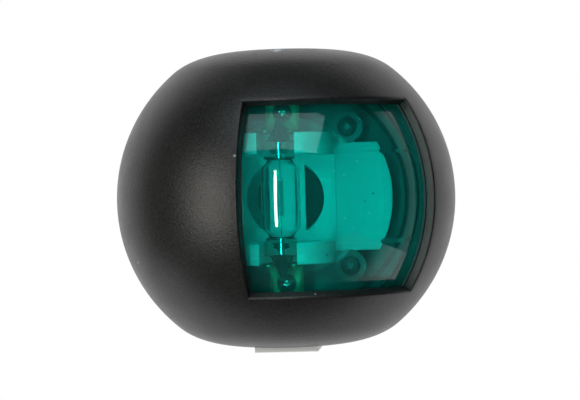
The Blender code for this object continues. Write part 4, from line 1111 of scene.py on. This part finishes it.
def buildLock():
    low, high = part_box("lock_screw")
    bottom, top = low[2], high[2]
    head, under = 3.6 * mm, low[2] + 1.4 * mm
    profile = [(0, top), (1.6 * mm, top)] + threadedShank(2.0 * mm, top - 0.4 * mm, under + 0.3 * mm,
                                                          0.7 * mm, 0.28 * mm)[:-2]
    profile += [(2.0 * mm, under + 0.4 * mm), (2.0 * mm, under), (head - 0.1 * mm, under),
                (head, under - 0.1 * mm),
                (head, bottom + 0.35 * mm), (head - 0.35 * mm, bottom), (0, bottom)]
    screw = turned("lockScrew", profile, place=(0, globeY, 0), steps=64)
    boolean(screw, *crossRecess(0, globeY, bottom, head * 1.2, 0.9 * mm, (0, 0, -1)))
    finishPiece(screw, stainless, "lock_screw", "steel", "lock_screw")
    low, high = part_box("lock_washer")
    ring = [(2.3 * mm, high[2] - 0.1 * mm), (2.4 * mm, high[2]), (3.85 * mm, high[2]),
            (4.0 * mm, high[2] - 0.15 * mm),
            (4.0 * mm, low[2] + 0.15 * mm), (3.85 * mm, low[2]), (2.4 * mm, low[2]),
            (2.3 * mm, low[2] + 0.1 * mm)]
    washer = turned("lockWasher", ring, place=(0, globeY, 0), steps=64, closed=True)
    finishPiece(washer, sealRubber, "lock_washer", "rubber", "lock_washer")
    low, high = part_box("threaded_insert")
    outside = [(3.0 * mm, high[2])]
    for i in range(4):                   # knurl rings that bite in the plastic
        height = high[2] - 0.3 * mm - i * 0.7 * mm
        outside += [(3.0 * mm, height), (2.8 * mm, height - 0.15 * mm), (2.8 * mm, height - 0.4 * mm),
                    (3.0 * mm, height - 0.55 * mm)]
    outside += [(3.0 * mm, low[2]), (2.4 * mm, low[2]), (2.3 * mm, low[2] + 0.1 * mm),
                (2.3 * mm, high[2] - 0.1 * mm), (2.4 * mm, high[2])]
    insert = turned("threadedInsert", outside, place=(0, globeY, 0), steps=64, closed=True)
    finishPiece(insert, springBrass, "base", "brass", "threaded_insert")


buildBase()
buildBaseSeals()
buildLock()
print("base, seals and lock made")


# studio
studio = {
    "floorBelow": 30 * mm, "distance": 0.600, "azimuth": 4.3, "elevation": 0.36, "roll": -1.58,
    "focal": 136.8,
    "aimRight": 1.03 * mm, "aimUp": -0.6 * mm, "sweepEdge": -68 * mm, "sweepFull": -38 * mm,
}


def buildCamera():
    a, e = math.radians(studio["azimuth"]), math.radians(studio["elevation"])
    back = Vector((math.sin(a) * math.cos(e), -math.cos(a) * math.cos(e), math.sin(e)))
    turn = (-back).to_track_quat("-Z", "Y")
    right, up = turn @ Vector((1, 0, 0)), turn @ Vector((0, 1, 0))
    data = bpy.data.cameras.new("camera")
    data.lens = studio["focal"]
    data.sensor_width = 36.0
    data.clip_start = 0.01
    camera = newObject("camera", data)
    aim = Vector((0, globeY, 0)) + right * studio["aimRight"] + up * studio["aimUp"]
    camera.location = aim + back * studio["distance"]
    camera.rotation_mode = "QUATERNION"
    camera.rotation_quaternion = Quaternion(back, math.radians(studio["roll"])) @ turn
    bpy.context.scene.camera = camera


def softbox(name, azimuth, elevation, distance, width, height, power, colour=(1, 1, 1)):
    a, e = math.radians(azimuth), math.radians(elevation)
    out = Vector((math.sin(a) * math.cos(e), -math.cos(a) * math.cos(e), math.sin(e)))
    data = bpy.data.lights.new(name, "AREA")
    data.shape = "RECTANGLE"
    data.size, data.size_y = width, height
    data.energy = power
    data.color = colour
    light = newObject(name, data)
    light.location = Vector((0, globeY, 0)) + out * distance
    light.rotation_mode = "QUATERNION"
    light.rotation_quaternion = (-out).to_track_quat("-Z", "Y")
    return light


def buildStudio():
    scene = bpy.context.scene
    scene.view_settings.view_transform = "Standard"
    world = bpy.data.worlds.new("studio")
    scene.world = world
    world.use_nodes = True
    tree = world.node_tree
    shown = tree.nodes["Background"]
    shown.inputs["Color"].default_value = (1, 1, 1, 1)
    shown.inputs["Strength"].default_value = 1.0
    lit = node(tree, "ShaderNodeBackground")
    place = node(tree, "ShaderNodeTexCoord")
    split = node(tree, "ShaderNodeSeparateXYZ")
    tree.links.new(place.outputs["Generated"], split.inputs[0])
    tree.links.new(ramp(tree, split.outputs["Y"], 0.22, 0.58, 0.02, 1.1), lit.inputs["Strength"])
    path = node(tree, "ShaderNodeLightPath")
    choose = node(tree, "ShaderNodeMixShader")
    tree.links.new(path.outputs["Is Camera Ray"], choose.inputs[0])
    tree.links.new(lit.outputs[0], choose.inputs[1])
    tree.links.new(shown.outputs[0], choose.inputs[2])
    tree.links.new(choose.outputs[0], tree.nodes["World Output"].inputs["Surface"])

    bm = bmesh.new()
    bmesh.ops.create_grid(bm, x_segments=1, y_segments=1, size=0.14)
    floor = newObject("floor", meshFrom(bm, "floor", fix=False))
    floor.location.z = cadBox[0][2] - studio["floorBelow"]
    paper, tree, shader = startMaterial("paleFloor")
    shader.inputs["Base Color"].default_value = (0.12, 0.12, 0.12, 1)
    shader.inputs["Roughness"].default_value = 0.9
    place = node(tree, "ShaderNodeTexCoord")
    split = node(tree, "ShaderNodeSeparateXYZ")
    tree.links.new(place.outputs["Object"], split.inputs[0])
    edge = ramp(tree, split.outputs["Y"], studio["sweepEdge"], studio["sweepFull"], 0.02, 0.75)
    tree.links.new(edge, shader.inputs["Emission Strength"])
    shader.inputs["Emission Color"].default_value = (1, 1, 1, 1)
    glow = node(tree, "ShaderNodeEmission")
    path = node(tree, "ShaderNodeLightPath")
    choose = node(tree, "ShaderNodeMixShader")
    tree.links.new(path.outputs["Is Camera Ray"], choose.inputs[0])
    tree.links.new(shader.outputs[0], choose.inputs[1])
    tree.links.new(glow.outputs[0], choose.inputs[2])
    tree.links.new(choose.outputs[0], tree.nodes["Material Output"].inputs["Surface"])
    floor.data.materials.append(paper)

    softbox("overheadBox", -3, 53, 0.9, 0.96, 0.56, 2.4, (0.80, 0.93, 1.0))
    softbox("leftBox", -46, 0, 0.9, 0.42, 0.75, 3.4, (1.0, 0.98, 0.92))
    softbox("keyStrip", -3, 0, 0.75, 0.026, 0.55, 1.4)


buildCamera()
buildStudio()
print("studio made")
